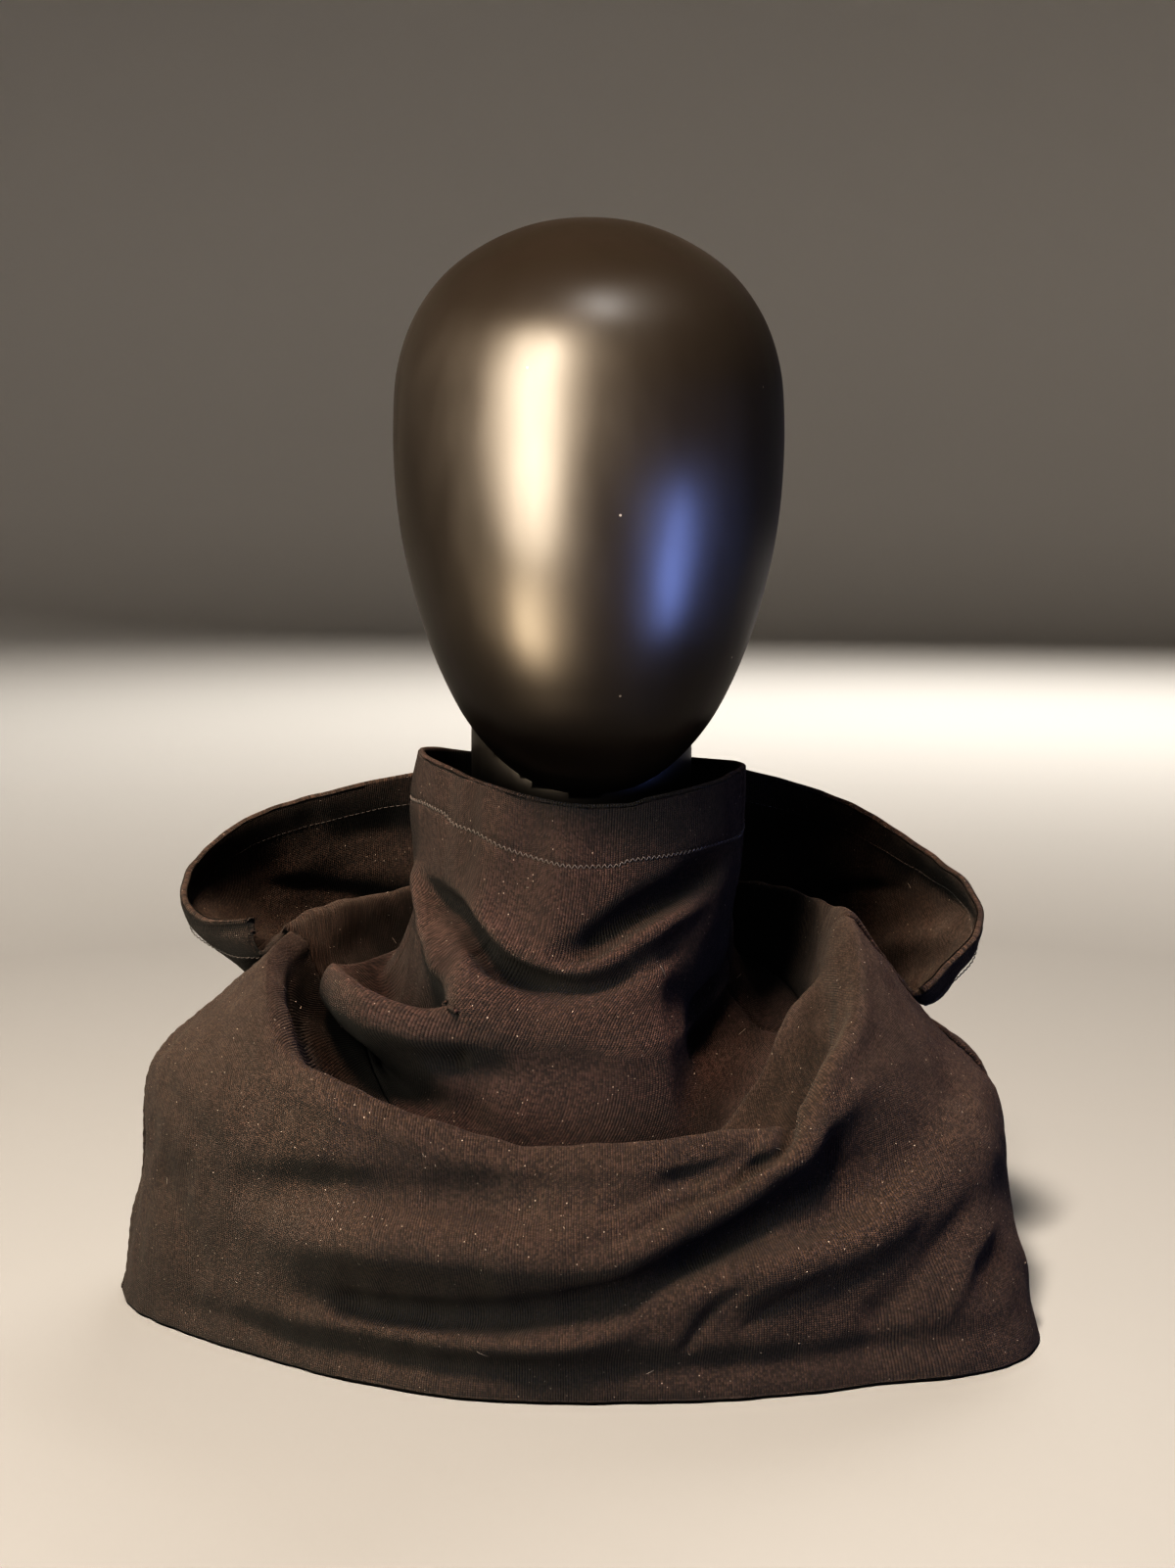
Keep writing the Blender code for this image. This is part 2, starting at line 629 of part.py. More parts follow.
def main():
    clear_scene()
    display_form()
    neck_gaiter()
    mantle_front()
    mantle_back()
    left = np.concatenate([steps(SIDE_SEAM, 108, TIP_STEP), steps(116, 180, HOOD_STEP)])
    right = np.concatenate([steps(180, 244, HOOD_STEP), steps(248, 360 - SIDE_SEAM, TIP_STEP)])
    hood_half("hood_left", left)
    hood_half("hood_right", right)


main()
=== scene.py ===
"""Looks of the hooded cowl and the display head it rests on.

Each panel repeats the form of its solid on a fine grid, with the creases, hems, seams and
stitches that the knit shows. The display head is a smooth egg on a neck and shoulder base.

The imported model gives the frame: metres, +Z up, the wearer faces -Y. The tables below are in
millimetres and degrees, and azimuth is measured about +Z from the front, positive towards +X.
"""

import math

import bpy
import numpy as np
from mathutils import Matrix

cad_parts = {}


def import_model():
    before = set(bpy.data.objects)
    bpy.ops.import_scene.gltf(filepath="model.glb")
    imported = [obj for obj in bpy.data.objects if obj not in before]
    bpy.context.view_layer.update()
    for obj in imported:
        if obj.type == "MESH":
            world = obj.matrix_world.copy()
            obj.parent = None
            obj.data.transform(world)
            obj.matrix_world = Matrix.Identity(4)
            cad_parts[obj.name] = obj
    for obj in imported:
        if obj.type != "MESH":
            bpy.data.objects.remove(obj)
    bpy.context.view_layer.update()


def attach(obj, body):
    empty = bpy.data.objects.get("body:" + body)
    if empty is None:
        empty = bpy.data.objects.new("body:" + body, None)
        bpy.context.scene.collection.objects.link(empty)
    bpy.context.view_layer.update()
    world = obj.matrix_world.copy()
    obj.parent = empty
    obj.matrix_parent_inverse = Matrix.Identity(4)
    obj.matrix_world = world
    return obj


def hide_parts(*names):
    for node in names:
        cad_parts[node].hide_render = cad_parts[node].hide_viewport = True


MM = 0.001
BODY = "root"
SEED = 11

# The cloth: wall thickness, and how far apart the cut edges lie at a sewn seam.
CLOTH = 2.0
HEM_EXTRA = 1.0
NEST_GAP = 0.3
SEAM_GAP = 0.3
SIDE_SEAM = 84.0
FLOOR_GAP = 0.3

# Grid sizes of the outer faces, (columns, rows). The inner faces have every second one.
FRONT_GRID = (421, 185)
BACK_GRID = (281, 121)
HOOD_GRID = (201, 181)
GAITER_GRID = (481, 161)
INNER_STEP = 2
# The flat width of a row is the mean over this many rows on each side.
WIDTH_ROWS = 15
CAP_ANGLES = (45, 90, 135)

# Where gaiter, mantle and hood are sewn together, low in front and high behind the neck.
SEAM_COLUMNS = ("azimuth", "r", "z")
SEAM_ROWS = (
    (-180, 79, 129),
    (-140, 81, 126),
    (-110, 86, 118),
    (-84, 92, 106),
    (-60, 95, 90),
    (-40, 97, 72),
    (-20, 95, 60),
    (0, 95, 58),
    (20, 95, 60),
    (40, 97, 72),
    (60, 95, 90),
    (84, 92, 106),
    (110, 86, 118),
    (140, 81, 126),
)
SEAM_DROP = 6
SEAM_RISE = 2

# The front of the mantle: up from the neck seam over a low inner fold, down a little valley,
# over a soft roll and down to the hem.
FRONT_COLUMNS = (
    "azimuth",
    "inner_r", "inner_z",
    "valley_r", "valley_z",
    "ridge_r", "ridge_z", "roll",
    "slope_r", "slope_z",
    "shoulder_r", "shoulder_z",
    "side_r", "side_z",
    "hem_r",
)
FRONT_ROWS = (
    (-84, 108, 124, 113, 138, 122, 150, 8, 146, 129, 177, 101, 185, 50, 195),
    (-74, 118, 114, 123, 130, 132, 144, 8, 152, 123, 174, 99, 181, 50, 187),
    (-64, 115, 95, 126, 109, 138, 131, 8, 152, 114, 165, 93, 170, 47, 172),
    (-55, 112, 86, 124, 96, 141, 115, 8, 151, 101, 158, 84, 161, 44, 162),
    (-43, 110, 79, 121, 90, 138, 108, 8, 147, 94, 152, 78, 154, 40, 155),
    (-30, 106, 73, 115, 86, 130, 99, 8, 139, 84, 147, 66, 149, 35, 150),
    (-15, 103, 68, 109, 78, 122, 90, 8, 132, 76, 141, 60, 147, 32, 147),
    (0, 102, 67, 107, 77, 120, 89, 8, 130, 76, 139, 60, 147, 32, 146),
    (15, 102, 69, 108, 78, 121, 90, 8, 131, 77, 140, 60, 147, 32, 149),
    (26, 101, 79, 109, 81, 124, 92, 8, 133, 79, 143, 62, 150, 32, 155),
    (36, 99, 93, 110, 87, 127, 92, 7, 136, 80, 147, 63, 156, 34, 163),
    (41, 98, 101, 110, 92, 127, 97, 7, 139, 81, 150, 64, 160, 35, 168),
    (46, 97, 108, 109, 99, 126, 107, 8, 142, 86, 155, 66, 166, 36, 177),
    (56, 95, 121, 107, 113, 124, 122, 9, 145, 97, 164, 72, 178, 38, 193),
    (65, 93, 126, 102, 125, 118, 139, 9, 145, 106, 168, 79, 182, 40, 194),
    (74, 96, 128, 99, 137, 111, 152, 8, 142, 113, 167, 86, 176, 44, 183),
    (84, 95, 128, 98, 142, 106, 155, 7, 140, 116, 166, 90, 170, 45, 175),
)
# Of the roll's size: how far its two flanks lie from the ridge, and how far below it.
ROLL_SHARES = (0.8, 0.5, 0.7)
FRONT_KNOTS = (0, 8, 24, 36, 50, 58, 67, 82, 104, 136, 172)

# The back of the mantle: from the neck seam out under the hood and down to the hem.
BACK_COLUMNS = (
    "azimuth", "neck_r", "neck_z", "slope_r", "slope_z",
    "shoulder_r", "shoulder_z", "side_r", "side_z", "hem_r",
)
BACK_ROWS = (
    (84, 112, 116, 140, 113, 166, 90, 170, 45, 175),
    (100, 108, 119, 138, 109, 163, 88, 168, 45, 173),
    (120, 103, 121, 130, 107, 152, 84, 158, 45, 163),
    (150, 98, 122, 117, 104, 133, 80, 139, 45, 144),
    (180, 96, 122, 112, 103, 126, 80, 132, 45, 138),
    (210, 98, 122, 117, 105, 133, 82, 140, 45, 146),
    (240, 104, 123, 134, 110, 156, 88, 163, 48, 169),
    (260, 112, 119, 143, 115, 170, 95, 178, 50, 185),
    (276, 117, 117, 146, 122, 177, 100, 185, 50, 195),
)
BACK_KNOTS = (0, 8, 26, 52, 80, 118, 164)

# The hood, thrown back: up from the neck seam over the roll, down into the pouch and out to
# the turned edge of the face opening.
HOOD_COLUMNS = (
    "azimuth",
    "inner_r", "inner_z",
    "ridge_r", "ridge_z",
    "dip_r", "dip_z",
    "floor_r", "floor_z",
    "belly_r", "belly_z",
    "rim_r", "rim_z",
)
HOOD_ROWS = (
    (84, 95, 128, 106, 155, 121, 141, 131, 128, 134, 125, 137, 127),
    (88, 94, 130, 104, 156, 120, 138, 137, 120, 142, 123, 146, 133),
    (92, 94, 131, 102, 156, 120, 136, 141, 117, 151, 126, 156, 140),
    (96, 93, 132, 100, 157, 120, 135, 143, 116, 159, 131, 164, 146),
    (100, 93, 133, 99, 157, 120, 134, 145, 115, 164, 136, 168, 152),
    (104, 92, 133, 98, 157, 120, 133, 147, 113, 167, 138, 169, 158),
    (113, 90, 134, 97, 157, 120, 130, 149, 109, 170, 140, 166, 167),
    (124, 88, 136, 96, 157, 120, 126, 150, 102, 170, 138, 162, 178),
    (138, 86, 138, 95, 157, 118, 124, 149, 91, 170, 128, 162, 189),
    (152, 84, 140, 95, 158, 114, 122, 147, 80, 168, 117, 160, 197),
    (180, 83, 141, 95, 159, 112, 120, 144, 70, 165, 108, 153, 203),
    (211, 84, 140, 94, 158, 114, 122, 147, 80, 169, 116, 160, 196),
    (226, 86, 138, 94, 156, 119, 126, 151, 92, 174, 127, 167, 190),
    (240, 89, 137, 96, 156, 123, 131, 154, 108, 178, 140, 175, 182),
    (250, 92, 136, 98, 156, 125, 136, 154, 118, 177, 146, 177, 172),
    (257, 96, 135, 102, 156, 126, 140, 151, 127, 173, 146, 176, 163),
    (262, 99, 134, 106, 155, 127, 142, 149, 131, 167, 143, 172, 156),
    (267, 101, 132, 111, 154, 128, 144, 145, 134, 156, 141, 161, 151),
    (271, 104, 129, 116, 152, 129, 145, 141, 137, 147, 143, 149, 152),
    (276, 108, 124, 122, 150, 129, 146, 133, 142, 135, 146, 135, 155),
)
HOOD_KNOTS = (0, 8, 24, 50, 84, 130, 174, 238)

# The neck gaiter: from its turned top hem down the neck, with the roll of spare cloth
# ("lip") at the wearer's right, and out to the neck seam.
GAITER_COLUMNS = (
    "azimuth",
    "rim_r", "rim_z",
    "hem_r", "hem_z",
    "chest_r", "chest_z",
    "waist_r", "waist_z",
    "pocket_r", "pocket_z",
    "lip_r", "lip_z", "lip_half",
    "under_r", "under_z",
    "flare_r", "flare_z",
)
GAITER_ROWS = (
    (-180, 66, 214, 66, 190, 66, 172, 65, 158, 66, 154, 67, 150, 2, 68, 145, 72, 138),
    (-135, 68, 216, 69, 191, 69, 172, 68, 158, 69, 152, 70, 147, 3, 71, 141, 75, 134),
    (-110, 69, 221, 72, 195, 70, 174, 69, 158, 72, 148, 75, 141, 4, 75, 133, 79, 126),
    (-92, 69, 223, 73, 197, 71, 174, 70, 157, 77, 140, 82, 131, 5, 81, 121, 84, 113),
    (-83, 69, 223, 72, 197, 71, 173, 71, 156, 86, 128, 102, 127, 8, 86, 114, 85, 107),
    (-74, 68, 222, 71, 196, 71, 172, 71, 155, 86, 118, 112, 128, 11, 95, 108, 88, 100),
    (-60, 66, 220, 69, 194, 70, 170, 72, 153, 84, 114, 112, 125, 11, 96, 105, 89, 96),
    (-48, 65, 217, 67, 191, 70, 168, 75, 151, 83, 116, 105, 121, 10, 94, 103, 89, 93),
    (-41, 64, 215, 66, 189, 71, 166, 78, 149, 85, 124, 99, 119, 10, 92, 102, 88, 91),
    (-36, 64, 214, 66, 188, 71, 166, 80, 149, 88, 132, 94, 119, 10, 90, 102, 88, 90),
    (-31, 64, 213, 66, 187, 70, 165, 80, 148, 86, 134, 90, 118, 6, 88, 102, 87, 88),
    (-22, 64, 211, 66, 185, 70, 163, 76, 146, 81, 132, 86, 116, 4, 86, 101, 87, 85),
    (0, 66, 208, 67, 182, 70, 160, 75, 143, 78, 130, 82.5, 114, 3, 84, 100, 87, 82),
    (14, 65, 208, 66, 183, 69, 160, 75, 143, 79, 129, 84, 113, 3, 85, 99, 88, 80),
    (22, 64, 210, 65, 184, 68, 161, 74, 143, 77, 129, 82.5, 113, 3, 84, 98, 88, 81),
    (30, 63, 211, 64, 185, 66, 162, 69, 143, 70, 128, 73.5, 113, 3, 76, 97, 85, 80),
    (48, 63, 213, 63, 188, 63, 164, 62, 144, 60, 130, 60, 118, 8, 64, 100, 76, 86),
    (66, 64, 215, 63, 190, 62, 167, 60, 150, 59, 138, 59, 126, 7, 62, 110, 73, 98),
    (90, 65, 216, 64, 192, 62, 172, 60, 158, 60, 148, 61, 138, 5, 64, 126, 72, 115),
    (135, 66, 214, 66, 190, 65, 172, 64, 158, 65, 153, 66, 148, 3, 68, 142, 73, 133),
)
# A wide lip curls in above and below by this share of its half height, and a narrow one is flat.
LIP_CURL = 0.5
FLAT_LIP = 4
GAITER_KNOTS = (0, 26, 48, 66, 88, 102, 112, 122, 138, 154, 176, 184)

# Large folds: how far each moves the cloth along the face's normal, its half width, and its
# route as (azimuth, height) points. The hood's normals face into its pouch.
MANTLE_FOLDS = (
    (-4.0, 9, ((-55, 65), (-40, 71), (-27, 72), (-14, 72), (0, 74))),
    (4.5, 13, ((-52, 55), (-35, 55), (-22, 56), (-8, 56), (6, 58), (15, 62))),
    (-5.0, 8, ((-42, 33), (-33, 28), (-17, 30), (-3, 36), (11, 44))),
    (2.0, 6, ((-38, 24), (-22, 20), (-8, 22), (8, 23))),
    (3.5, 8, ((57, 121), (49, 111), (42, 98), (36, 89), (29, 80), (23, 72), (13, 61), (6, 54))),
    (-2.5, 5, ((10, 77), (17, 79), (23, 83), (29, 88))),
    (-2.5, 5, ((13, 68), (20, 72), (27, 78), (31, 84))),
    (-6.5, 11, ((9, 47), (16, 53), (26, 59), (37, 62), (48, 72), (57, 80))),
    (4.0, 9, ((15, 42), (29, 48), (39, 52), (50, 64))),
    (-4.5, 13, ((32, 68), (43, 77), (54, 85), (66, 94), (76, 102))),
    (-3.0, 12, ((-72, 70), (-66, 45), (-60, 20))),
    (-3.0, 12, ((72, 66), (62, 44), (54, 24))),
)
BACK_FOLDS = (
    (-3.0, 12, ((118, 78), (130, 50), (134, 15))),
    (3.0, 11, ((150, 66), (153, 35), (151, 6))),
    (-3.5, 12, ((172, 70), (178, 40), (176, 12))),
    (3.0, 11, ((203, 62), (200, 34), (203, 6))),
    (-3.0, 13, ((238, 80), (226, 48), (224, 14))),
    (2.5, 12, ((252, 60), (248, 30), (250, 6))),
)
HOOD_FOLDS = (
    (6.0, 10, ((133, 152), (156, 139), (180, 134), (203, 141), (229, 155))),
    (-4.0, 11, ((146, 122), (164, 110), (180, 104), (197, 111), (217, 126))),
    (4.0, 8, ((158, 92), (176, 84), (199, 91))),
    (-3.5, 9, ((128, 172), (152, 166), (180, 164), (206, 168), (230, 174))),
    (4.0, 8, ((104, 136), (116, 128), (130, 116))),
    (4.0, 8, ((256, 140), (246, 130), (232, 118))),
)
GAITER_FOLDS = (
    (-5.0, 7, ((-58, 167), (-38, 156), (-26, 147), (-14, 140), (-5, 138), (7, 141), (22, 150))),
    (2.5, 6, ((-45, 169), (-20, 152), (-7, 146), (4, 148), (17, 157), (36, 165), (60, 172))),
    (-5.0, 8, ((62, 184), (37, 172), (18, 165), (6, 156), (-6, 150))),
    (2.0, 10, ((-40, 143), (-20, 131), (0, 130), (16, 138))),
    (-3.0, 8, ((-60, 112), (-50, 108), (-38, 106), (-26, 105), (-14, 104))),
    (4.0, 7, ((-75, 171), (-61, 155), (-49, 146), (-41, 138), (-35, 129), (-34, 120))),
)
FOLD_END = 0.25

# Drapes and finer creases, in the same form, which fade out at both ends.
MANTLE_CREASES = (
    (-3.0, 8, ((-66, 60), (-51, 67), (-39, 71), (-29, 71), (-18, 69), (-8, 67), (3, 67))),
    (4.6, 9, ((-58, 44), (-44, 50), (-27, 54), (-17, 54), (-7, 53), (4, 54), (12, 58))),
    (-4.6, 5.5, ((-52, 30), (-44, 28), (-28, 28), (-12, 31), (2, 40), (9, 45), (20, 55), (31, 67),
               (43, 75), (58, 83))),
    (2.4, 4, ((-46, 22.5), (-36, 22), (-20, 21.5), (-5, 22), (4, 26), (10, 34))),
    (-3.6, 6, ((-76, 11), (-58, 11), (-33, 10), (-12, 12), (4, 13), (28, 12), (50, 14), (70, 14))),
    (4.2, 8, ((5, 30), (15, 38), (24, 43), (32, 46), (41, 52), (49, 61), (60, 73))),
    (5.0, 6.5, ((-6, 49), (6, 55), (17, 64), (21, 70), (28, 77), (34, 84), (42, 92), (49, 102),
              (57, 113))),
    (-2.0, 3.5, ((-4, 68), (4, 70), (13, 75), (19, 78), (25, 83), (30, 89))),
    (-2.4, 3.6, ((-6, 54), (-1, 57), (7, 62), (14, 68), (21, 72), (26, 78), (32, 86), (37, 94))),
    (-1.6, 2.6, ((12, 18), (14, 21), (16, 28), (18, 34), (22, 40), (26, 46))),
    (-1.3, 2.8, ((21, 24), (23, 27), (27, 34), (32, 40), (37, 45))),
    (2.0, 4.5, ((48, 20), (51, 27), (54, 35), (59, 44), (68, 52))),
    (-3.0, 6.0, ((38, 20), (42, 27), (49, 41), (56, 54), (66, 62))),
    (-1.0, 5.0, ((-76, 100), (-66, 84), (-56, 76))),
    (0.9, 5.0, ((-66, 62), (-62, 44), (-60, 26))),
)
# Creases that cross the top of the front roll, with routes as (azimuth, place along the profile).
MANTLE_CROSSINGS = (
    (-5.0, 3.4, ((17, 96), (24, 86), (30, 75), (34, 65), (37, 56), (40, 48), (45, 43), (52, 42),
                 (60, 42), (70, 42))),
    (2.5, 5.0, ((20, 102), (28, 88), (35, 75), (42, 64), (50, 60), (60, 60), (70, 60))),
)
BACK_CREASES = (
    (-1.2, 4, ((100, 84), (108, 60), (112, 36))),
    (1.0, 4, ((136, 70), (141, 50), (142, 28))),
    (-1.2, 4, ((160, 74), (166, 52), (164, 30))),
    (-1.0, 4, ((190, 72), (188, 48), (191, 24))),
    (1.0, 5, ((214, 74), (212, 50), (215, 20))),
    (-1.2, 4, ((258, 88), (250, 62), (246, 40))),
)
HOOD_CREASES = (
    (-1.6, 4, ((120, 150), (140, 140), (160, 128))),
    (1.4, 5, ((150, 176), (176, 172), (204, 178))),
    (-1.4, 4, ((238, 150), (222, 142), (204, 128))),
    (-1.2, 4, ((96, 140), (106, 146), (118, 156))),
    (-1.2, 4, ((262, 150), (252, 158), (242, 168))),
)
GAITER_CREASES = (
    (-7.5, 4.4, ((-76, 174), (-64, 168), (-48, 163), (-38, 156), (-30, 148), (-23, 143), (-13, 140),
                 (0, 138))),
    (-2.0, 3.0, ((-13, 139), (-4, 138), (6, 139), (15, 143), (27, 148), (39, 152))),
    (3.0, 3.8, ((-50, 171), (-41, 165), (-30, 157), (-19, 148), (-10, 145), (-2, 146), (7, 149),
                (16, 155), (28, 161), (45, 167), (62, 172))),
    (-5.5, 5.5, ((-16, 152), (-9, 150), (-1, 152), (6, 157), (15, 163), (25, 168), (40, 175),
                 (58, 182), (70, 186))),
    (3.4, 4.2, ((-84, 182), (-75, 171), (-61, 155), (-52, 149), (-45, 142), (-40, 136))),
    (-3.0, 3.4, ((-72, 159), (-64, 153), (-57, 147), (-51, 141))),
    (-1.2, 2.6, ((14, 146), (20, 150), (27, 154), (36, 160))),
    (-0.8, 5.0, ((-260, 180), (-230, 172), (-200, 168), (-182, 170))),
    (0.8, 5.0, ((-150, 176), (-124, 178), (-104, 184), (-88, 188))),
)
ROUTE_POINTS = 40
# Tight spots where the cloth is evened out: (azimuth, radius, height, reach).
GAITER_SPOTS = ((-38, 90, 129, 8),)
SPOT_ROUNDS = 30

# Soft unevenness of the knit: (height, wavelength), each made of a few waves of varied length.
UNDULATIONS = ((0.45, 46.0), (0.22, 19.0))
WAVES = 9
WAVE_SPREAD = (0.7, 1.5)

# The egg head, and the neck and shoulder base that it stands on: one oval section a row.
FORM_COLUMNS = ("z", "half_width", "front", "back")
HEAD_ROWS = (
    (210, 8, -50, -34),
    (213, 20, -60, -20),
    (219, 31, -69, 0),
    (227, 40, -76, 14),
    (238, 49, -83, 29),
    (252, 57, -88, 44),
    (268, 64, -92, 58),
    (290, 71, -95, 75),
    (313, 76, -96, 88),
    (336, 78.5, -95, 97),
    (356, 79, -92, 101),
    (376, 77.5, -87, 100),
    (396, 71, -77, 92),
    (413, 59, -62, 77),
    (425, 43, -43, 57),
    (433, 24, -22, 34),
)
HEAD_BOTTOM = (-42, 209)
HEAD_TOP = (6, 436)
BASE_ROWS = (
    (0, 152, -80, 100),
    (8, 158, -83, 105),
    (40, 162, -82, 108),
    (60, 160, -78, 108),
    (72, 152, -70, 105),
    (81, 132, -58, 99),
    (88, 106, -50, 94),
    (97, 92, -46, 91),
    (104, 84, -45, 89),
    (113, 68, -43, 84),
    (122.2, 54, -42, 79),
    (123, 52, -42, 73),
    (129, 50, -41, 66),
    (140, 48, -40, 59),
    (158, 47, -39, 54),
    (190, 45.5, -38, 51),
    (225, 45.5, -37, 50),
    (262, 44, -34, 46),
)
NECK_OFFSET_X = -2.5
HEAD_OFFSET_X = 0.5
FORM_SIDES = 112
HEAD_RINGS = 110
BASE_RINGS = 90

# Seams and stitches. The gaiter's hem line is (azimuth, height), from its side seam at 80
# degrees all the way round, with its step at the wearer's right.
CALM_WIDTH = 22.0
SEAM_DEPTH = 0.9
SEAM_WIDTH = 1.6
SEAM_PUCKER = 0.18
PUCKER_WIDTH = 3 * SEAM_WIDTH
SEAM_STITCH = 5.0
GAITER_SEAM = 80.0
GAITER_HEM = 23.0
HEM_LINE = (
    (-280, 189), (-260, 191), (-220, 192), (-180, 193), (-140, 194), (-110, 200), (-90, 203),
    (-76, 203), (-60, 201), (-57, 200), (-52, 197), (-43, 195), (-30, 190), (-16, 186),
    (-3, 184), (9, 184), (16, 186), (40, 187), (57, 188), (80, 189),
)
HEM_POINTS = 400
HEM_GROOVE = 0.6
HEM_GROOVE_WIDTH = 1.5
HEM_STITCH = 2.3
HEM_ZIGZAG = 0.8
THREAD = 0.22
THREAD_SIDES = 6
# Where a thread's rings lie along it, and how much of its arch each has.
THREAD_SHARES = (0.0, 0.18, 0.5, 0.82, 1.0)
THREAD_LIFTS = (-1.0, 0.5, 1.0, 0.5, -1.0)
HOOD_HEM = 15.0
HOOD_STITCH = 3.0
STITCH_GAP = 0.12
# Lint: its half thickness and its arch, the lengths of its specks and hairs, in how many pieces
# there is one hair, and how many pieces cling to each face.
LINT = 0.11
LINT_ARCH = 1.6 * LINT
SPECK_LENGTHS = (0.4, 1.3)
HAIR_LENGTHS = (3.0, 6.5)
HAIR_EVERY = 12
LINT_FRONT, LINT_GAITER, LINT_HOOD = 90, 50, 20

# The knit: distance between wales and between courses, how deep both and the nap are, and the
# share of that depth that the single loops have.
WALE = 1.1
COURSE = 0.8
LOOP_SHARE = 0.25
WALE_DEPTH = 0.40
NAP_DEPTH = 0.35
NAP_SCALE = 1500
NAP_STRENGTH = 0.6
GAITER_BROWN = (0.030, 0.0175, 0.0138)
MANTLE_BROWN = (0.028, 0.0175, 0.0128)
THREAD_BROWN = (0.052, 0.037, 0.030)
DARK_THREAD = (0.036, 0.025, 0.020)
KNIT_ROUGHNESS = 0.92
KNIT_SPECULAR = 0.2
# Heather: the lightest and darkest stitches, as shares of the colour, and how rare light ones are.
HEATHER_LIGHT = 2.0
HEATHER_DARK = 0.6
HEATHER_POWER = 1.3
# Painted shade darkens the cloth between the wales and, found by ambient occlusion, deep in folds; soft
# clouds of darker cloth are a random tone. Each range is (low, high, share at low, share at high).
WALE_SHADE_RANGE = (0.0, 0.75, 0.8, 0.0)
CLOUD_SCALE = 30
CLOUD_RANGE = (0.35, 0.75, 0.0, 0.3)
FOLD_SHADE_SHARE = 0.12
FOLD_SHADE_REACH = 30.0
FOLD_SHADE_RANGE = (0.25, 0.85, 1.0, 0.0)
FOLD_SHADE_SAMPLES = 6
# Pale dots of fluff, as (scale, radius, share of the cells that have one).
PALE_FLUFF = (0.22, 0.18, 0.15)
FLUFF_DOTS = (520, 0.15, 0.10)
SHEEN = 0.04
SHEEN_ROUGHNESS = 0.4
SHEEN_TINT = (1.0, 0.86, 0.74)

# The display head's lacquer.
SATIN = (0.030, 0.023, 0.017)
SATIN_ROUGHNESS = 0.38
SATIN_METAL = 0.45
SATIN_STREAK = 0.6
SCUFF_SCALE = 40
SCUFF_STRETCH = (1, 1, 0.35)
SCUFF_RANGE = (0.3, 0.7, 0.34, 0.42)
SKIN_SCALE = 900
SKIN_DEPTH = 0.02
CHIP = (0.35, 0.31, 0.25)
CHIP_DOTS = (90, 0.045, 0.10)

# The studio: (radius, height) of its floor and wall in metres, with the floor's colour passing
# into the wall's between two distances, its sky, and soft boxes as
# (name, azimuth, elevation, distance, width, height, power, colour, use).
# A "gloss" box shows only as a highlight, and a "cloth" box makes none.
STUDIO_PROFILE = ((0.0, -0.0004), (2.5, -0.0004), (4.6, -0.0004), (6.0, 0.6), (6.7, 2.2), (6.9, 4.2))
STUDIO_RINGS = 40
STUDIO_SIDES = 96
# Painted light: the floor is dark grey near the object, where the key light falls strongest, and grows
# paler towards the wall, where the light falls off, so that both look evenly pale.
FLOOR_COLOUR = (0.150, 0.146, 0.140)
WALL_COLOUR = (0.74, 0.72, 0.69)
WALL_START, WALL_END = 0.8, 5.6
SKY_COLOUR = (1.0, 0.97, 0.93)
SKY_POWER = 0.03
LIGHT_AIM = 0.2
LIGHTS = (
    ("key", -22, 64, 1.7, 0.30, 0.30, 104, (1.0, 0.91, 0.81), "cloth"),
    ("fill", 53, 20, 3.4, 0.80, 1.6, 10, (0.45, 0.58, 1.0), "cloth"),
    ("back", 165, 36, 3.4, 1.60, 1.6, 110, (1.0, 0.97, 0.93), "cloth"),
    ("warm_strip", -38, 18, 3.4, 1.30, 4.6, 1000, (1.0, 0.93, 0.80), "gloss"),
    ("warm_low", -40, -10, 0.6, 0.18, 0.18, 4, (1.0, 0.88, 0.68), "gloss"),
    ("blue_strip", 56, 0, 0.9, 0.18, 0.38, 9, (0.30, 0.44, 1.0), "gloss"),
    ("top", 22, 70, 2.0, 0.50, 0.5, 14, (0.86, 0.93, 1.0), "gloss"),
)

# The camera, as the photograph's was solved.
CAMERA_PLACE = (0.0, -0.970, 0.327)
CAMERA_PITCH = 7.0
CAMERA_LENS = 54.53


def table(columns, rows):
    """The rows as one array for each named column."""
    return {name: np.array(values, float) for name, values in zip(columns, zip(*rows))}


def smooth(xs, ys, x):
    """Cubic curve through (xs, ys). Its slope follows the neighbours, and a flat stretch stays flat."""
    slopes = np.gradient(ys, xs, axis=0)
    flat = np.diff(ys, axis=0) == 0
    slopes[:-1][flat] = 0
    slopes[1:][flat] = 0
    i = np.clip(np.searchsorted(xs, x, side="right") - 1, 0, len(xs) - 2)
    span = xs[i + 1] - xs[i]
    t = (x - xs[i]) / span
    if np.ndim(ys) > 1:
        extra = (1,) * (np.ndim(ys) - 1)
        t = np.reshape(t, t.shape + extra)
        span = np.reshape(span, span.shape + extra)
    start = (1 + 2 * t) * (1 - t) ** 2 * ys[i] + t * (1 - t) ** 2 * span * slopes[i]
    end = t * t * (3 - 2 * t) * ys[i + 1] + t * t * (t - 1) * span * slopes[i + 1]
    return start + end


def around(sections, name, azimuth, closed):
    """One column of a table of sections, read at these azimuths."""
    xs = sections["azimuth"]
    ys = sections[name]
    if closed:
        xs = np.concatenate([xs - 360, xs, xs + 360])
        ys = np.tile(ys, 3)
        azimuth = (np.asarray(azimuth) + 180) % 360 - 180
    return smooth(xs, ys, azimuth)


def seam_controls(azimuth, out=0.0):
    """The upright strip of cloth at the neck seam, this far out from the seam's ring."""
    sections = table(SEAM_COLUMNS, SEAM_ROWS)
    radius = around(sections, "r", azimuth, closed=True) + out
    height = around(sections, "z", azimuth, closed=True)
    return [(radius, height - SEAM_DROP), (radius, height + SEAM_RISE)]


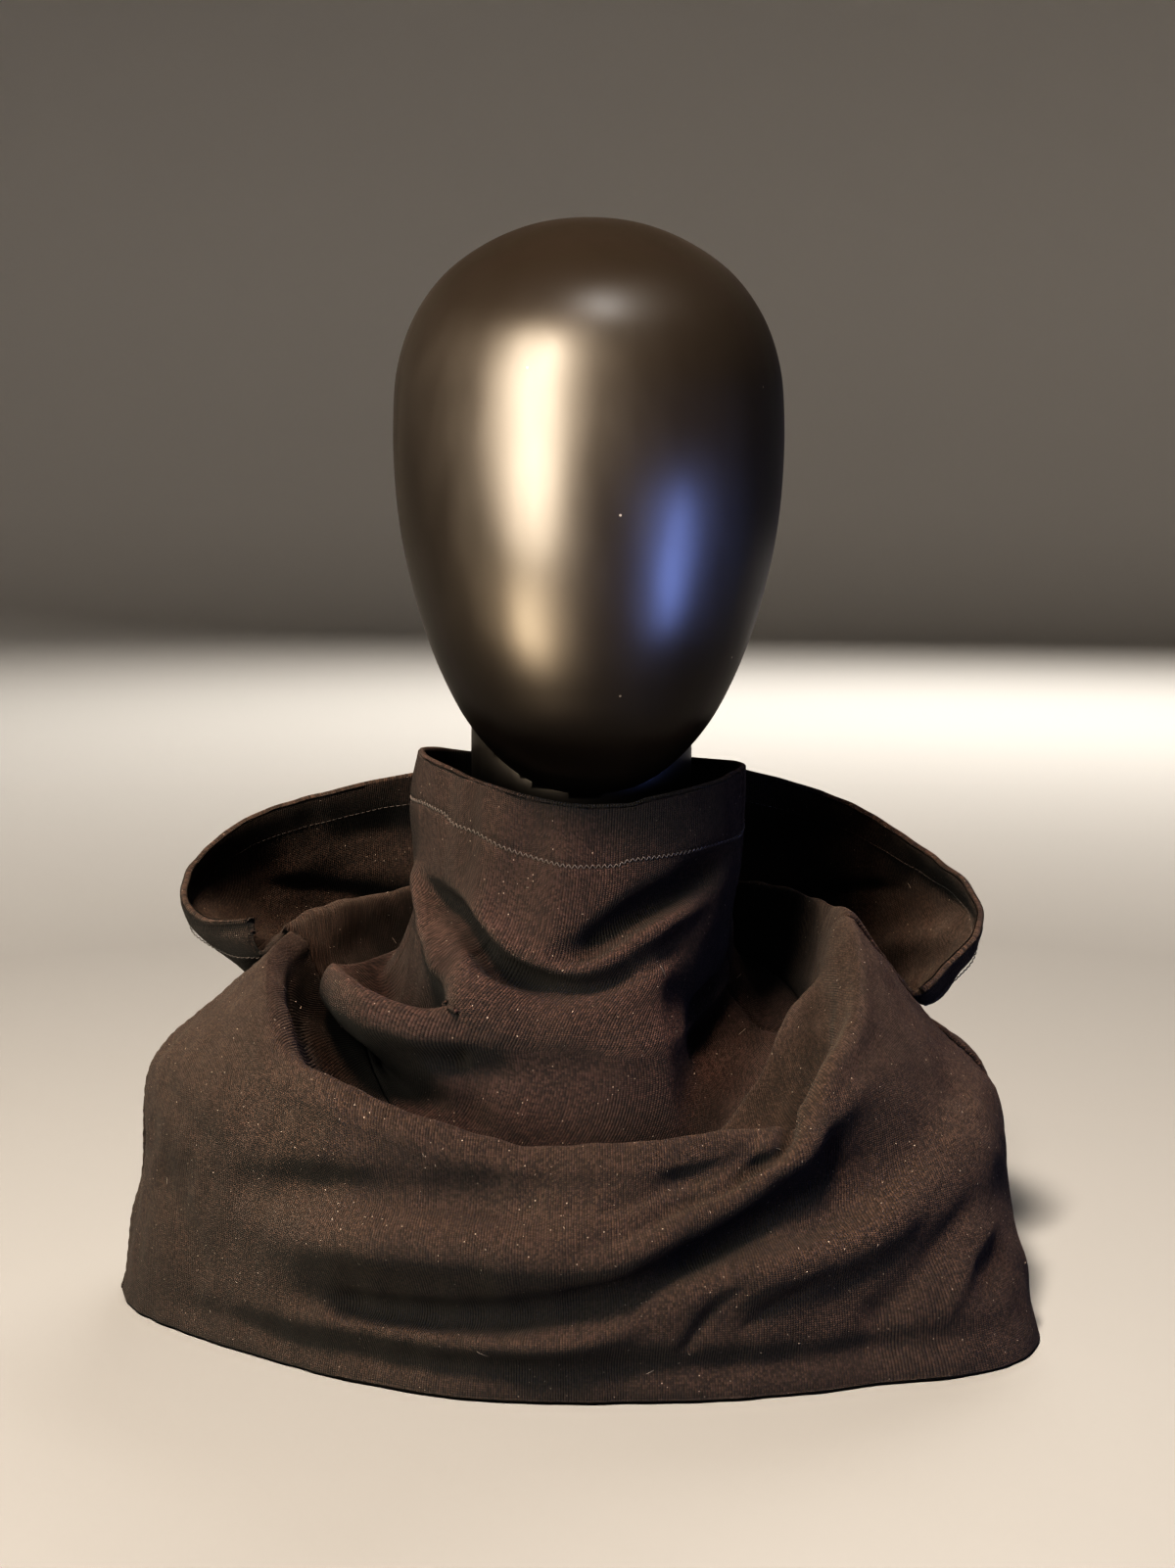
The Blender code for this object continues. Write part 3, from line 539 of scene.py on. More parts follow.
def ease(share):
    """Turns a straight ramp from 0 to 1 into a soft one."""
    return share * share * (3 - 2 * share)


def pairs(at, *names):
    """The (radius, height) columns of these control points."""
    return [(at[name + "_r"], at[name + "_z"]) for name in names]


def profiles(controls, knots, rows):
    """Smooth profiles through control points, last point first: (azimuths, rows, 2) radii and heights."""
    stacked = np.stack([np.stack(pair, axis=-1) for pair in controls])
    at = np.linspace(knots[-1], 0, rows)
    return np.swapaxes(smooth(np.array(knots, float), stacked, at), 0, 1)


def to_points(profile, azimuth):
    """Turns radii and heights at each azimuth into points in space."""
    angle = np.radians(azimuth)[:, None]
    x = profile[..., 0] * np.sin(angle)
    y = -profile[..., 0] * np.cos(angle)
    return np.stack([x, y, profile[..., 1]], axis=-1)


def seam_tangent(azimuth):
    angle = math.radians(azimuth)
    return np.array([math.cos(angle), math.sin(angle), 0.0])


def grid_normals(points, azimuth, closed):
    """Unit outward normals of a grid. A closed grid's last column repeats its first.

    At the cut edges of an open panel they lie in the plane of the edge.
    """
    if closed:
        wrapped = np.concatenate([points[-2:-1], points, points[1:2]])
        across = wrapped[2:] - wrapped[:-2]
    else:
        across = np.gradient(points, axis=0)
    normals = np.cross(across, np.gradient(points, axis=1))
    if not closed:
        for column in (0, -1):
            tangent = seam_tangent(azimuth[column])
            normals[column] -= (normals[column] @ tangent)[:, None] * tangent
    return normals / np.linalg.norm(normals, axis=-1, keepdims=True)


def route_marks(route, count):
    marks = np.array(route, float)
    ends = np.arange(len(marks))
    return smooth(ends, marks, np.linspace(0, ends[-1], count))


def pick(grid, places):
    """Values of a grid at fractional (column, row) places."""
    low = np.clip(np.floor(places).astype(int), 0, np.array(grid.shape[:2]) - 2)
    share = (places - low)[..., None]
    i, j = low[:, 0], low[:, 1]
    first = grid[i, j] + share[:, 1] * (grid[i, j + 1] - grid[i, j])
    second = grid[i + 1, j] + share[:, 1] * (grid[i + 1, j + 1] - grid[i + 1, j])
    return first + share[:, 0] * (second - first)


def on_face(points, azimuth, marks):
    """Points in space at marks of (azimuth, height), on the first run of a grid's rows."""
    found = []
    for turn, height in marks:
        column = np.interp(turn, azimuth, np.arange(len(azimuth)))
        left = int(column)
        right = min(left + 1, len(azimuth) - 1)
        line = points[left] + (column - left) * (points[right] - points[left])
        way = np.sign(line[1, 2] - line[0, 2])
        run = line[: int(np.argmax(way * line[:, 2])) + 1]
        rising = np.maximum.accumulate(way * run[:, 2])
        x = np.interp(way * height, rising, run[:, 0])
        y = np.interp(way * height, rising, run[:, 1])
        found.append((x, y, height))
    return np.array(found)


def on_profile(points, azimuth, knots, marks):
    """Points in space at marks of (azimuth, place along the profile from the neck seam)."""
    columns = np.interp(marks[:, 0], azimuth, np.arange(len(azimuth)))
    rows = (1 - marks[:, 1] / knots[-1]) * (points.shape[1] - 1)
    return pick(points, np.stack([columns, rows], axis=-1))


def reach(points, line, width):
    """Distance to a line and place along it, from 0 to 1, for the grid points near it."""
    near = np.all(points > line.min(axis=0) - 3 * width, axis=-1)
    near &= np.all(points < line.max(axis=0) + 3 * width, axis=-1)
    p = points[near][:, None, :]
    start, step = line[:-1], np.diff(line, axis=0)
    t = np.clip(((p - start) * step).sum(-1) / (step * step).sum(-1), 0, 1)
    gaps = np.linalg.norm(start + t[..., None] * step - p, axis=-1)
    best = gaps.argmin(axis=1)
    rows = np.arange(len(best))
    return near, gaps[rows, best], (best + t[rows, best]) / len(step)


def fold(points, azimuth, folds, closed, end_share, knots=None):
    """Raises and sinks folds along the outward normals of a grid.

    With knots, the routes give places along the profile instead of heights.
    """
    normals = grid_normals(points, azimuth, closed)
    moved = points.copy()
    for height, width, route in folds:
        marks = route_marks(route, ROUTE_POINTS)
        if knots:
            line = on_profile(points, azimuth, knots, marks)
        else:
            line = on_face(points, azimuth, marks)
        near, gap, place = reach(points, line, width)
        ends = np.clip(4 * np.minimum(place, 1 - place), 0, 1)
        taper = end_share + (1 - end_share) * ease(ends)
        lift = height * taper * np.exp(-((gap / width) ** 2))
        moved[near] += lift[:, None] * normals[near]
    return moved


def undulate(points, azimuth, closed, calm, rng):
    """Soft unevenness from a few waves through space, so that it has no seam."""
    normals = grid_normals(points, azimuth, closed)
    total = np.zeros(points.shape[:2])
    for height, length in UNDULATIONS:
        for _ in range(WAVES):
            way = rng.normal(size=3)
            way *= 2 * math.pi / (length * rng.uniform(*WAVE_SPREAD) * np.linalg.norm(way))
            total += height / 2 * np.sin(points @ way + rng.uniform(0, 2 * math.pi))
    return points + (total * calm)[..., None] * normals


def even_out(points, spots):
    """Moves each point towards its neighbours' mean, by less and less away from the spots."""
    for turn, radius, height, width in spots:
        angle = math.radians(turn)
        centre = (radius * math.sin(angle), -radius * math.cos(angle), height)
        share = np.exp(-((points - centre) ** 2).sum(axis=-1) / width**2)[..., None]
        for _ in range(SPOT_ROUNDS):
            mean = sum(np.roll(points, step, axis) for step in (-1, 1) for axis in (0, 1)) / 4
            points = points + share * (mean - points)
    return points


def part_at_seam(points, azimuth):
    """Moves both cut edges of a panel half a seam gap away from the seam's plane."""
    for column, side in ((0, 1.0), (-1, -1.0)):
        points[column] += side * SEAM_GAP / 2 * seam_tangent(azimuth[column])


def run_down(points):
    """Distance along each profile from its first row."""
    along = np.linalg.norm(np.diff(points, axis=1), axis=-1)
    return np.concatenate([np.zeros((points.shape[0], 1)), np.cumsum(along, axis=1)], axis=1)


def flat_lengths(points):
    """Where each grid point lies in the flat cloth, with wales that run straight down it."""
    widths = np.linalg.norm(np.diff(points, axis=0), axis=-1).sum(axis=0)
    window = np.ones(2 * WIDTH_ROWS + 1) / (2 * WIDTH_ROWS + 1)
    widths = np.convolve(np.pad(widths, WIDTH_ROWS, mode="edge"), window, mode="valid")
    u = np.linspace(-0.5, 0.5, points.shape[0])[:, None] * widths
    return u, run_down(points)


def rim_cap(edge, normals, outward, half):
    """Rows of a rounded edge, from the outer face round to the inner one."""
    centre = edge - half * normals
    rows = []
    for angle in np.radians(CAP_ANGLES):
        rows.append(centre + half * (math.cos(angle) * normals + math.sin(angle) * outward))
    return rows


def shell(name, points, normals, thickness, closed, material):
    """A closed cloth wall: a fine outer face, rounded edges and a coarser inner face."""
    rows = points.shape[1]
    half = thickness / 2
    caps = []
    for row, before in ((0, 1), (rows - 1, rows - 2)):
        outward = points[:, row] - points[:, before]
        outward /= np.linalg.norm(outward, axis=-1, keepdims=True)
        points[:, row] -= half[row] * outward
        caps += rim_cap(points[:, row], normals[:, row], outward, half[row])
    inner = (points - normals * thickness[None, :, None])[::INNER_STEP, ::INNER_STEP]

    layers = [points] + [row[:, None] for row in caps] + [inner]
    starts = np.cumsum([0] + [layer.shape[0] * layer.shape[1] for layer in layers])
    index = [
        start + np.arange(layer.shape[0] * layer.shape[1]).reshape(layer.shape[:2])
        for start, layer in zip(starts, layers)
    ]
    top, caps_at, under = index[0], index[1:-1], index[-1]
    count = len(CAP_ANGLES)
    quads = [quad_grid(top)]
    tris = []
    for end, row, flip in ((caps_at[:count], 0, False), (caps_at[count:], rows - 1, True)):
        chain = [top[:, row]] + [cap[:, 0] for cap in end]
        for a, b in zip(chain, chain[1:]):
            strip = np.stack([a[1:], a[:-1], b[:-1], b[1:]], axis=1)
            quads.append(strip[:, ::-1] if flip else strip)
        tris.append(stepped_strip(chain[-1], under[:, 0 if row == 0 else -1], flip))
    quads.append(quad_grid(under)[:, ::-1])
    sides = []
    if not closed:
        for column, flip in ((0, True), (-1, False)):
            tris.append(stepped_strip(top[column], under[column], flip))
            first = [under[column, 0]] + [c[column, 0] for c in caps_at[:count][::-1]] + [top[column, 0]]
            last = [top[column, -1]] + [c[column, 0] for c in caps_at[count:]] + [under[column, -1]]
            for polygon in (first, last):
                sides.append(polygon if flip else polygon[::-1])

    u, v = flat_lengths(points)
    uv_layers = [np.stack([u, v], -1).reshape(-1, 2)]
    uv_layers += [np.stack([u[:, 0], v[:, 0]], -1)] * count
    uv_layers += [np.stack([u[:, -1], v[:, -1]], -1)] * count
    uv_layers.append(np.stack([u, v], -1)[::INNER_STEP, ::INNER_STEP].reshape(-1, 2))
    places = np.concatenate([layer.reshape(-1, 3) for layer in layers])
    places[:, 2] = np.maximum(places[:, 2], FLOOR_GAP)
    faces = np.concatenate(quads).tolist() + np.concatenate(tris).tolist()
    faces += [[int(k) for k in polygon] for polygon in sides]
    merge = np.arange(len(places))
    if closed:
        for at in index:
            merge[at[-1]] = at[0]
    return mesh_piece(name, places * MM, faces, material, np.concatenate(uv_layers) * MM, merge)


def quad_grid(at):
    """Quads over a grid of vertex numbers, facing out."""
    return np.stack([at[:-1, :-1], at[1:, :-1], at[1:, 1:], at[:-1, 1:]], axis=-1).reshape(-1, 4)


def stepped_strip(fine, coarse, flip):
    """Triangles between an edge and one with every second of its points."""
    a, b, c = fine[:-1:2], fine[1::2], fine[2::2]
    k, n = coarse[:-1], coarse[1:]
    found = np.concatenate([
        np.stack([b, a, k], axis=1),
        np.stack([c, b, n], axis=1),
        np.stack([b, k, n], axis=1),
    ])
    return found[:, ::-1] if flip else found


def mesh_piece(name, places, faces, material, uv=None, merge=None):
    """A smooth shaded mesh object. merge gives the vertex that each listed one stands for."""
    kept = np.arange(len(places)) if merge is None else np.unique(merge)
    number = np.full(len(places), -1)
    number[kept] = np.arange(len(kept))
    renumber = number if merge is None else number[merge]
    mesh = bpy.data.meshes.new(name)
    mesh.from_pydata(places[kept].tolist(), [], [[int(renumber[k]) for k in face] for face in faces])
    if uv is not None:
        layer = mesh.uv_layers.new(name="flat_cloth")
        loops = np.concatenate([np.asarray(face) for face in faces])
        layer.data.foreach_set("uv", uv[loops].astype(np.float32).ravel())
    mesh.shade_smooth()
    mesh.materials.append(material)
    piece = bpy.data.objects.new(name, mesh)
    bpy.context.scene.collection.objects.link(piece)
    return piece


def read_columns(columns, rows, azimuth, closed):
    sections = table(columns, rows)
    return {name: around(sections, name, azimuth, closed) for name in columns[1:]}


def from_edge(knots, rows, at_start):
    """Distance along the profile from its first or last row, a number for each row."""
    away = np.linspace(0, knots[-1], rows)
    return away if at_start else away[::-1]


def calm_near(knots, rows, at_start):
    """Weights from 0 at the neck seam to 1 a little away from it, a weight for each row."""
    return ease(np.clip(from_edge(knots, rows, at_start) / CALM_WIDTH, 0, 1))


def hem_thickness(knots, rows, depth, at_start):
    """Wall thickness, with the edge turned in and sewn down over this depth."""
    away = from_edge(knots, rows, at_start)
    return CLOTH + HEM_EXTRA * np.clip((depth - away) / HEM_EXTRA, 0, 1)


def edge_gap(points):
    """How far each grid point is from the nearer cut edge of its row."""
    across = np.linalg.norm(np.diff(points, axis=0), axis=-1)
    run = np.concatenate([np.zeros((1, points.shape[1])), np.cumsum(across, axis=0)])
    return np.minimum(run, run[-1] - run)


def sink_seam(points, normals, calm):
    """A shallow groove along both cut edges, where panels are sewn, puckered by its stitches."""
    gap = edge_gap(points)
    along = run_down(points)
    groove = SEAM_DEPTH * np.exp(-((gap / SEAM_WIDTH) ** 2))
    pull = SEAM_PUCKER * np.exp(-((gap / PUCKER_WIDTH) ** 2))
    pucker = pull * np.sin(2 * math.pi * along / SEAM_STITCH)
    return points + ((pucker - groove) * calm)[..., None] * normals


def dress(name, azimuth, closed, controls, knots, rows, folds, creases, material, rng,
          hem=0.0, over=(), spots=()):
    """One panel of cloth over the form of its solid.

    Row 0 of a closed tube is at the neck seam, and row 0 of an open panel is its free edge.
    Returns the piece and its face, as (outer grid, azimuths, closed).
    """
    calm = calm_near(knots, rows, at_start=closed)
    thickness = hem_thickness(knots, rows, hem, at_start=not closed)
    points = to_points(profiles(controls, knots, rows), azimuth)
    points = fold(points, azimuth, folds, closed, FOLD_END)
    points = undulate(points, azimuth, closed, calm, rng)
    if not closed:
        part_at_seam(points, azimuth)
    normals = grid_normals(points, azimuth, closed)
    points = sink_seam(points, normals, calm)
    points = fold(points, azimuth, creases, closed, 0.0)
    points = fold(points, azimuth, over, closed, 0.0, knots)
    points = even_out(points, spots)
    face = (points.copy(), azimuth, closed)
    return shell(name, points, normals, thickness, closed, material), face


def mantle_front(material, rng):
    azimuth = np.linspace(-SIDE_SEAM, SIDE_SEAM, FRONT_GRID[0])
    at = read_columns(FRONT_COLUMNS, FRONT_ROWS, azimuth, closed=False)
    out, drop_in, drop_out = (share * at["roll"] for share in ROLL_SHARES)
    controls = seam_controls(azimuth) + pairs(at, "inner", "valley") + [
        (at["ridge_r"] - out, at["ridge_z"] - drop_in),
        (at["ridge_r"], at["ridge_z"]),
        (at["ridge_r"] + out, at["ridge_z"] - drop_out),
    ] + pairs(at, "slope", "shoulder", "side") + [(at["hem_r"], 0 * azimuth)]
    return dress(
        "mantle_front_cloth", azimuth, False, controls, FRONT_KNOTS, FRONT_GRID[1],
        MANTLE_FOLDS, MANTLE_CREASES, material, rng, over=MANTLE_CROSSINGS,
    )


def mantle_back(material, rng):
    azimuth = np.linspace(SIDE_SEAM, 360 - SIDE_SEAM, BACK_GRID[0])
    at = read_columns(BACK_COLUMNS, BACK_ROWS, azimuth, closed=False)
    controls = seam_controls(azimuth, CLOTH + NEST_GAP)
    controls += pairs(at, "neck", "slope", "shoulder", "side") + [(at["hem_r"], 0 * azimuth)]
    return dress(
        "mantle_back_cloth", azimuth, False, controls, BACK_KNOTS, BACK_GRID[1],
        BACK_FOLDS, BACK_CREASES, material, rng,
    )


def hood_half(name, first, last, material, rng):
    azimuth = np.linspace(first, last, HOOD_GRID[0])
    at = read_columns(HOOD_COLUMNS, HOOD_ROWS, azimuth, closed=False)
    controls = seam_controls(azimuth) + pairs(at, "inner", "ridge", "dip", "floor", "belly", "rim")
    return dress(
        name, azimuth, False, controls, HOOD_KNOTS, HOOD_GRID[1],
        HOOD_FOLDS, HOOD_CREASES, material, rng, hem=HOOD_HEM,
    )


def neck_gaiter(material, rng):
    azimuth = np.linspace(GAITER_SEAM - 360, GAITER_SEAM, GAITER_GRID[0])
    at = read_columns(GAITER_COLUMNS, GAITER_ROWS, azimuth, closed=True)
    lip = at["lip_half"]
    curl = LIP_CURL * lip * np.clip((lip - FLAT_LIP) / FLAT_LIP, 0, 1)
    controls = pairs(at, "rim", "hem", "chest", "waist", "pocket") + [
        (at["lip_r"] - curl, at["lip_z"] + lip),
        (at["lip_r"], at["lip_z"]),
        (at["lip_r"] - curl, at["lip_z"] - lip),
    ] + pairs(at, "under", "flare") + seam_controls(azimuth, -NEST_GAP)[::-1]
    creases = GAITER_CREASES + ((-HEM_GROOVE, HEM_GROOVE_WIDTH, HEM_LINE),)
    return dress(
        "neck_gaiter_cloth", azimuth, True, controls, GAITER_KNOTS, GAITER_GRID[1],
        GAITER_FOLDS, creases, material, rng, hem=GAITER_HEM, spots=GAITER_SPOTS,
    )


def even_marks(points, step):
    """Fractional places along a line of points, this far apart."""
    run = np.concatenate([[0.0], np.cumsum(np.linalg.norm(np.diff(points, axis=0), axis=-1))])
    count = int(run[-1] / step)
    return np.interp(np.linspace(0, run[-1], count + 1), run, np.arange(len(points)))


def threads(starts, ends, normals, radius, arch):
    """Short threads from start to end, arched over the cloth. Returns vertices and faces."""
    shares = np.array(THREAD_SHARES)
    lifts = np.array(THREAD_LIFTS) * arch
    line = starts[:, None] + shares[:, None] * (ends - starts)[:, None]
    line = line + lifts[:, None] * normals[:, None]
    way = (ends - starts) / np.linalg.norm(ends - starts, axis=-1, keepdims=True)
    side = np.cross(way, normals)
    turn = np.arange(THREAD_SIDES) * 2 * math.pi / THREAD_SIDES
    spread = np.cos(turn)[:, None] * normals[:, None] + np.sin(turn)[:, None] * side[:, None]
    places = (line[:, :, None] + radius * spread[:, None]).reshape(-1, 3)
    faces = []
    ring, rings = THREAD_SIDES, len(shares)
    for k in range(len(starts)):
        base = k * ring * rings
        for r in range(rings - 1):
            for s in range(ring):
                a = base + r * ring + s
                b = base + r * ring + (s + 1) % ring
                faces.append([a, b, b + ring, a + ring])
        faces.append([base + s for s in reversed(range(ring))])
        faces.append([base + (rings - 1) * ring + s for s in range(ring)])
    return places, faces


def hem_stitches(face, material):
    """The zigzag that holds the gaiter's turned hem."""
    grid, azimuth, _ = face
    normals = grid_normals(*face)
    marks = route_marks(HEM_LINE, HEM_POINTS)
    line = on_face(grid, azimuth, marks)
    at = even_marks(line, HEM_STITCH / 2)
    turns = np.interp(at, np.arange(len(marks)), marks[:, 0])
    heights = np.interp(at, np.arange(len(marks)), marks[:, 1])
    heights += HEM_ZIGZAG * np.where(np.arange(len(at)) % 2, 1.0, -1.0)
    places = grid_places(grid, azimuth, np.stack([turns, heights], axis=-1))
    holes, facing = pick(grid, places), pick(normals, places)
    made, faces = threads(holes[:-1], holes[1:], facing[:-1], THREAD, THREAD)
    return mesh_piece("gaiter_hem_stitches", made * MM, faces, material)


def grid_places(points, azimuth, marks):
    """Fractional (column, row) places of marks of (azimuth, height) on the first run of rows."""
    found = []
    for turn, height in marks:
        column = np.interp(turn, azimuth, np.arange(len(azimuth)))
        heights = points[int(round(column)), :, 2]
        last = len(heights) - 1
        run = heights[::-1][: int(np.argmax(np.diff(heights[::-1]) > 0)) or None]
        row = last - np.interp(-height, -run, np.arange(len(run)))
        found.append((column, row))
    return np.array(found)


def rim_stitches(name, face, material):
    """The line of stitches along the hood's turned edge, on both faces of the cloth."""
    grid = face[0]
    normals = grid_normals(*face)
    rows = np.array([np.interp(HOOD_HEM, run, np.arange(len(run))) for run in run_down(grid)])
    line = pick(grid, np.stack([np.arange(len(rows)), rows], axis=-1))
    at = even_marks(line, HOOD_STITCH)
    places = np.stack([at, np.interp(at, np.arange(len(rows)), rows)], axis=-1)
    holes, facing = pick(grid, places), pick(normals, places)
    starts = holes[:-1] + STITCH_GAP * (holes[1:] - holes[:-1])
    outer, faces = threads(starts, holes[1:], facing[:-1], THREAD, THREAD)
    through = facing[:-1] * (CLOTH + HEM_EXTRA)
    inner, more = threads(starts - through, holes[1:] - through, -facing[:-1], THREAD, THREAD)
    faces += [[k + len(outer) for k in face_loop] for face_loop in more]
    return mesh_piece(name, np.concatenate([outer, inner]) * MM, faces, material)


def lint(counts, material, rng):
    """Pale specks and a few fine hairs of lint that cling to the cloth, a number for each face."""
    starts, ends, facing = [], [], []
    for face, count in counts:
        grid = face[0]
        normals = grid_normals(*face)
        for k in range(count):
            place = np.array([[rng.uniform(1, grid.shape[0] - 3), rng.uniform(8, grid.shape[1] - 12)]])
            start, normal = pick(grid, place)[0], pick(normals, place)[0]
            way = np.cross(normal, rng.normal(size=3))
            way /= np.linalg.norm(way)
            length = rng.uniform(*(SPECK_LENGTHS if k % HAIR_EVERY else HAIR_LENGTHS))
            starts.append(start)
            ends.append(start + length * way)
            facing.append(normal)
    made, faces = threads(np.array(starts), np.array(ends), np.array(facing), LINT, LINT_ARCH)
    return mesh_piece("lint", made * MM, faces, material)


def smooth_stack(name, rows, rings, closed_poles, offset_x, material):
    """A body through oval rows, smooth along its height, with flat ends or round poles."""
    sections = np.stack(list(table(FORM_COLUMNS, rows).values()), axis=-1)
    run = np.cumsum(np.concatenate([[0.0], np.hypot(*np.diff(sections[:, :2], axis=0).T)]))
    at = np.linspace(0, run[-1], rings)
    if closed_poles:
        (low_y, low_z), (high_y, high_z) = closed_poles
        turned = sections[[0, -1]] * (1, -1, 1, 1)
        turned = turned[:, [0, 1, 3, 2]]
        poles = np.array([(low_z, 0, low_y, low_y), (high_z, 0, high_y, high_y)], float)
        sections = np.concatenate([turned[:1], poles[:1], sections, poles[1:], turned[1:]])
        run = np.cumsum(np.concatenate([[0.0], np.hypot(*np.diff(sections[:, :2], axis=0).T)]))
        at = np.linspace(run[1], run[-2], rings + 2)[1:-1]
    z, width, front, back = smooth(run, sections, at).T
    angle = np.arange(FORM_SIDES) * 2 * math.pi / FORM_SIDES
    x = width[:, None] * np.sin(angle) + offset_x
    y = ((front + back) / 2)[:, None] - ((back - front) / 2)[:, None] * np.cos(angle)
    places = np.stack([x, y, np.broadcast_to(z[:, None], x.shape)], axis=-1).reshape(-1, 3)
    number = np.arange(rings * FORM_SIDES).reshape(rings, FORM_SIDES)
    after = np.roll(number, -1, axis=1)
    faces = np.stack([number[:-1], after[:-1], after[1:], number[1:]], axis=-1).reshape(-1, 4).tolist()
    if closed_poles:
        ends = [(offset_x, low_y, low_z), (offset_x, high_y, high_z)]
        places = np.concatenate([places, ends])
        base = rings * FORM_SIDES
        faces += [[int(b), int(a), base] for a, b in zip(number[0], after[0])]
        faces += [[int(a), int(b), base + 1] for a, b in zip(number[-1], after[-1])]
    else:
        faces.append(number[0][::-1].tolist())
        faces.append(number[-1].tolist())
    return mesh_piece(name, places * MM, faces, material)


def display_form(material):
    """The smooth head joined with its neck and shoulder base."""
    form = smooth_stack("display_form_smooth", BASE_ROWS, BASE_RINGS, None, NECK_OFFSET_X, material)
    poles = (HEAD_BOTTOM, HEAD_TOP)
    head = smooth_stack("head_shape", HEAD_ROWS, HEAD_RINGS, poles, HEAD_OFFSET_X, material)
    join = form.modifiers.new("head", "BOOLEAN")
    join.operation = "UNION"
    join.object = head
    graph = bpy.context.evaluated_depsgraph_get()
    whole = bpy.data.meshes.new_from_object(form.evaluated_get(graph))
    form.modifiers.clear()
    form.data = whole
    whole.shade_smooth()
    bpy.data.objects.remove(head, do_unlink=True)
    return form


def sums(tree, operation, *values):
    """One Math node over numbers and sockets. Returns its output."""
    made = tree.nodes.new("ShaderNodeMath")
    made.operation = operation
    for socket, value in zip(made.inputs, values):
        if isinstance(value, (int, float)):
            socket.default_value = value
        else:
            tree.links.new(value, socket)
    return made.outputs[0]


def noise(tree, scale, detail, stretch=None):
    """Noise in object coordinates, its cells about 1/scale metres across."""
    place = tree.nodes.new("ShaderNodeTexCoord").outputs["Object"]
    if stretch:
        mapping = tree.nodes.new("ShaderNodeMapping")
        mapping.inputs["Scale"].default_value = stretch
        tree.links.new(place, mapping.inputs["Vector"])
        place = mapping.outputs["Vector"]
    made = tree.nodes.new("ShaderNodeTexNoise")
    made.inputs["Scale"].default_value = scale
    made.inputs["Detail"].default_value = detail
    tree.links.new(place, made.inputs["Vector"])
    return made.outputs["Fac"]


def mix_colour(tree, share, first, second):
    """A colour between two, each given as a colour or a socket."""
    made = tree.nodes.new("ShaderNodeMix")
    made.data_type = "RGBA"
    sockets = [s for s in made.inputs if s.type == "RGBA"]
    tree.links.new(share, made.inputs[0])
    for socket, value in zip(sockets, (first, second)):
        if isinstance(value, tuple):
            socket.default_value = (*value, 1)
        else:
            tree.links.new(value, socket)
    return next(s for s in made.outputs if s.type == "RGBA")


def spread(tree, value, low, high, to_low=0.0, to_high=1.0):
    """Maps a range of values onto another, clamped."""
    made = tree.nodes.new("ShaderNodeMapRange")
    for socket, number in zip(made.inputs[1:5], (low, high, to_low, to_high)):
        socket.default_value = number
    tree.links.new(value, made.inputs[0])
    return made.outputs[0]


def bump(tree, height, distance, strength, before=None):
    made = tree.nodes.new("ShaderNodeBump")
    made.inputs["Strength"].default_value = strength
    made.inputs["Distance"].default_value = distance
    tree.links.new(height, made.inputs["Height"])
    if before:
        tree.links.new(before, made.inputs["Normal"])
    return made.outputs["Normal"]


def specks(tree, scale, radius, share):
    """1 on small dots in a share of the cells, 0 elsewhere."""
    cells = tree.nodes.new("ShaderNodeTexVoronoi")
    cells.inputs["Scale"].default_value = scale
    tree.links.new(tree.nodes.new("ShaderNodeTexCoord").outputs["Object"], cells.inputs["Vector"])
    dot = sums(tree, "LESS_THAN", cells.outputs["Distance"], radius)
    pick_cell = tree.nodes.new("ShaderNodeSeparateColor")
    tree.links.new(cells.outputs["Color"], pick_cell.inputs[0])
    chosen = sums(tree, "LESS_THAN", pick_cell.outputs[0], share)
    return sums(tree, "MULTIPLY", dot, chosen)


def plain(name, colour, roughness):
    material = bpy.data.materials.new(name)
    material.use_nodes = True
    shader = material.node_tree.nodes["Principled BSDF"]
    shader.inputs["Base Color"].default_value = (*colour, 1)
    shader.inputs["Roughness"].default_value = roughness
    return material, material.node_tree, shader


